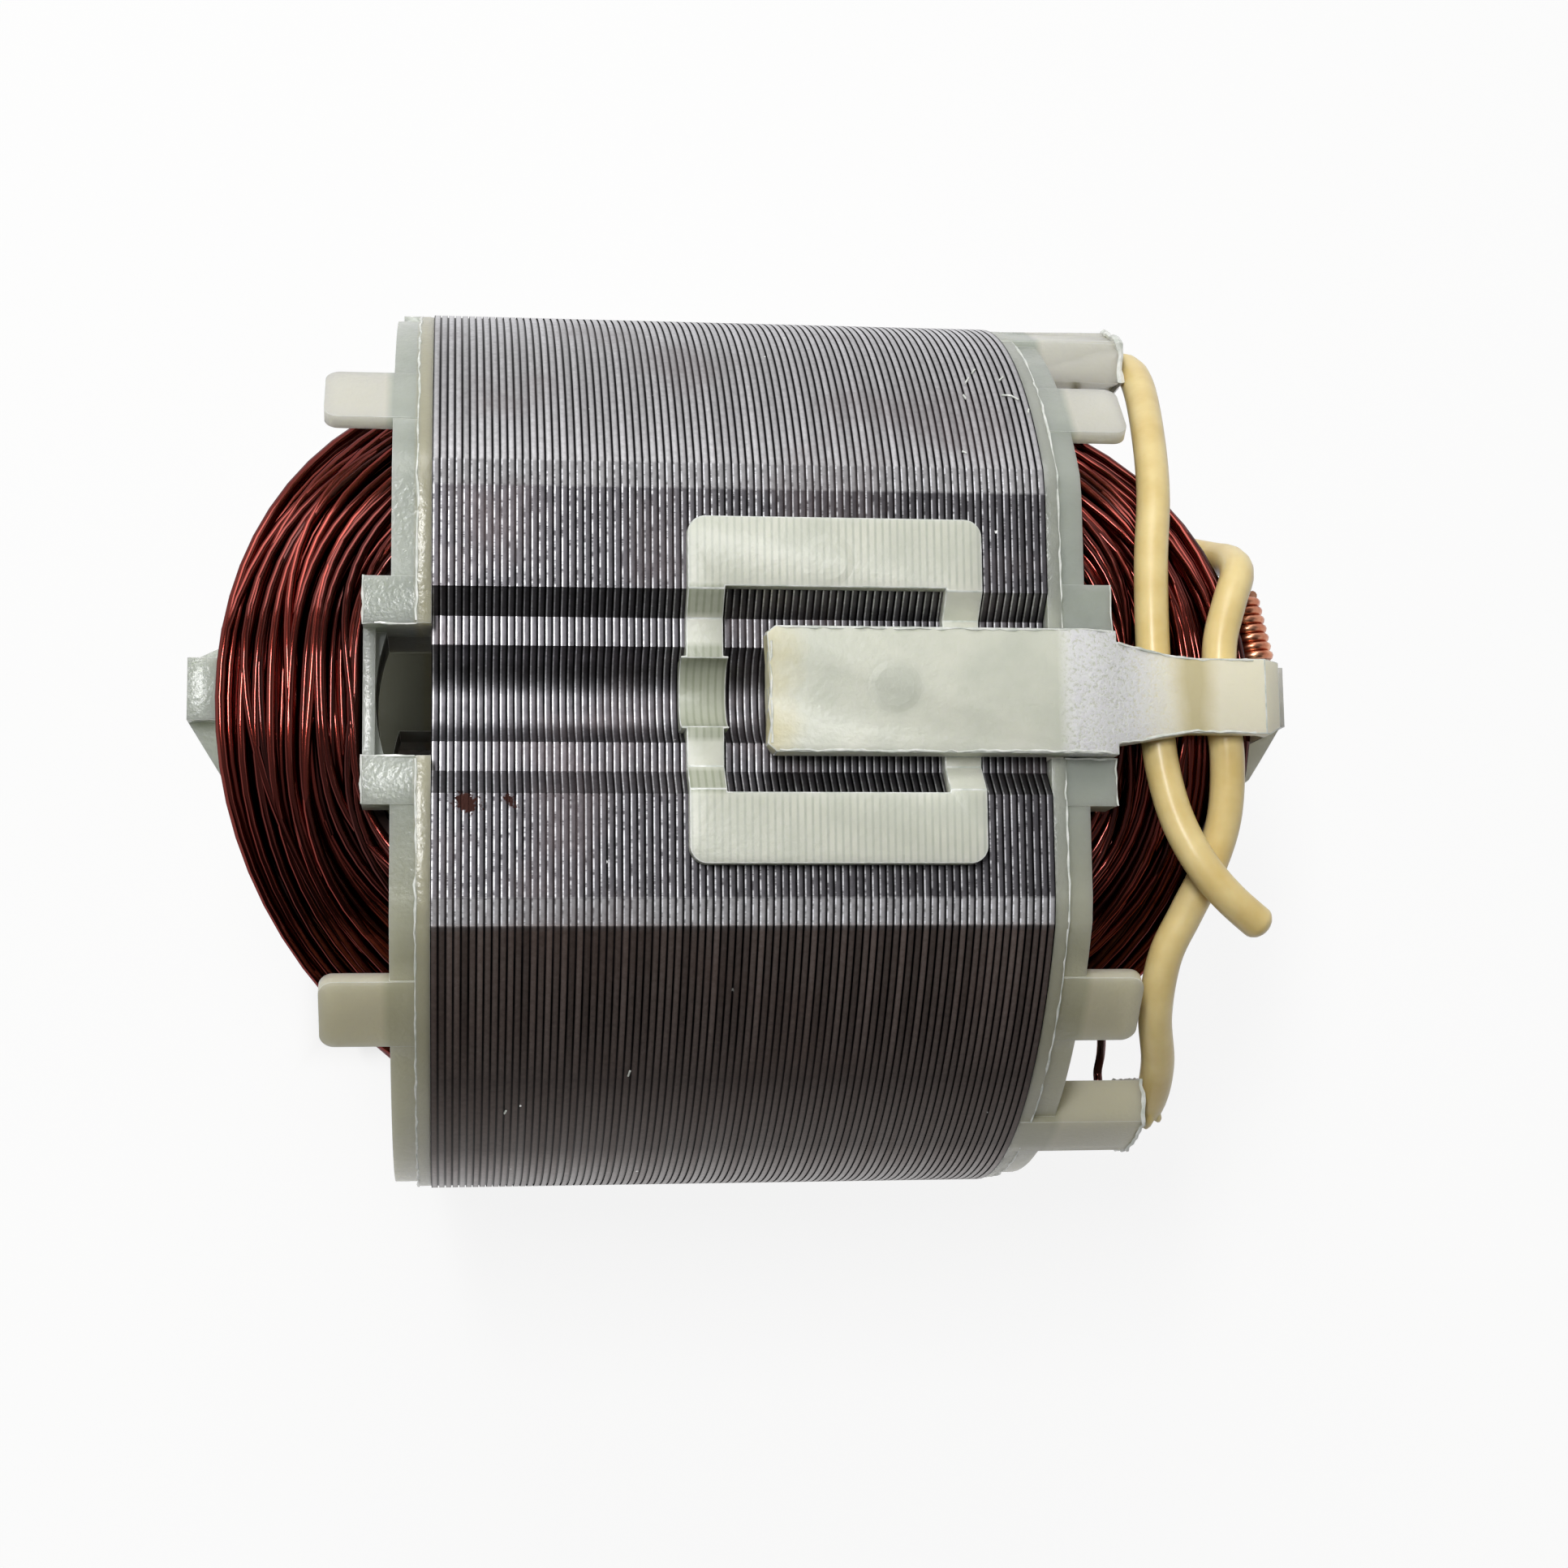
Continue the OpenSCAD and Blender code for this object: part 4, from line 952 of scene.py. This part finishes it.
# %% White of the table
TABLE_WHITE = 0.88
SHADE_X, SHADE_Y = (24, 33), (13, 24)
table = bpy.data.materials.new("white_table")
table.use_nodes = True
tree = table.node_tree
shader = tree.nodes["Principled BSDF"]
tune(shader, {"Base Color": paint("#f2f2f0"), "Roughness": 0.8})
glow = add(tree, "Emission", {"Color": (1, 1, 1, 1), "Strength": 1.0})
ray = add(tree, "LightPath")
seen = add(tree, "Math", {0: ray.outputs["Is Camera Ray"], 1: ray.outputs["Is Glossy Ray"]},
           operation="MAXIMUM")
seen = add(tree, "Math", {0: seen.outputs[0], 1: ray.outputs["Is Transmission Ray"]},
           operation="MAXIMUM")
# Right under the part the white glow is switched off, so the table there shows its rendered shadow and is a
# little dimmer all over, a painted shade
place = add(tree, "TexCoord").outputs["Object"]
apart = add(tree, "VectorMath", {0: place}, operation="ABSOLUTE").outputs[0]
apart = add(tree, "SeparateXYZ", {0: apart}).outputs
past_x = add(tree, "MapRange", {0: apart["X"], 1: SHADE_X[0] * MM, 2: SHADE_X[1] * MM},
             interpolation_type="SMOOTHSTEP").outputs[0]
past_y = add(tree, "MapRange", {0: apart["Y"], 1: SHADE_Y[0] * MM, 2: SHADE_Y[1] * MM},
             interpolation_type="SMOOTHSTEP").outputs[0]
open_table = add(tree, "Math", {0: past_x, 1: past_y}, operation="MAXIMUM").outputs[0]
part = add(tree, "Math", {0: seen.outputs[0], 1: TABLE_WHITE}, operation="MULTIPLY")
part = add(tree, "Math", {0: part.outputs[0], 1: open_table}, operation="MULTIPLY")
both = add(tree, "MixShader", {0: part.outputs[0], 1: shader.outputs[0], 2: glow.outputs[0]})
tree.links.new(both.outputs[0], tree.nodes["Material Output"].inputs["Surface"])
floor.data.materials.append(table)
print("table wears", table.name)

# %% World, lamps and dark card
world = bpy.data.worlds.new("studio")
world.use_nodes = True
bpy.context.scene.world = world
tune(world.node_tree.nodes["Background"], {"Color": (1, 1, 1, 1), "Strength": 0.22})


def lamp(name, place_mm, width_mm, height_mm, watts):
    """Area lamp that points at the middle of the part, with its height along Y."""
    bpy.ops.object.select_all(action="DESELECT")
    bpy.ops.object.light_add(type="AREA")
    made = bpy.context.object
    made.name = name
    made.data.shape = "RECTANGLE"
    made.data.size = width_mm * MM
    made.data.size_y = height_mm * MM
    made.data.energy = watts
    made.location = Vector(place_mm) * MM
    back = Vector(place_mm).normalized()
    across = Vector((0, 1, 0)).cross(back).normalized()
    made.rotation_mode = "QUATERNION"
    made.rotation_quaternion = Matrix((across, back.cross(across), back)).transposed().to_quaternion()


lamp("wide_lamp", (-60, 380, 330), 260, 260, 0.85)
lamp("near_lamp", (-120, 100, 470), 55, 190, 1.45)
bpy.ops.object.select_all(action="DESELECT")
bpy.ops.mesh.primitive_plane_add(size=0.7, location=(0, -0.33, 0.2), rotation=(math.radians(70), 0, 0))
card = bpy.context.object
card.name = "dark_card"
card.visible_camera = False
card_finish = bpy.data.materials.new("dark_card")
card_finish.use_nodes = True
tune(card_finish.node_tree.nodes["Principled BSDF"], {"Base Color": paint("#2a2826"), "Roughness": 0.9})
card.data.materials.append(card_finish)
bpy.context.scene.view_settings.view_transform = "Standard"
print("two lamps and a dark card are set up")
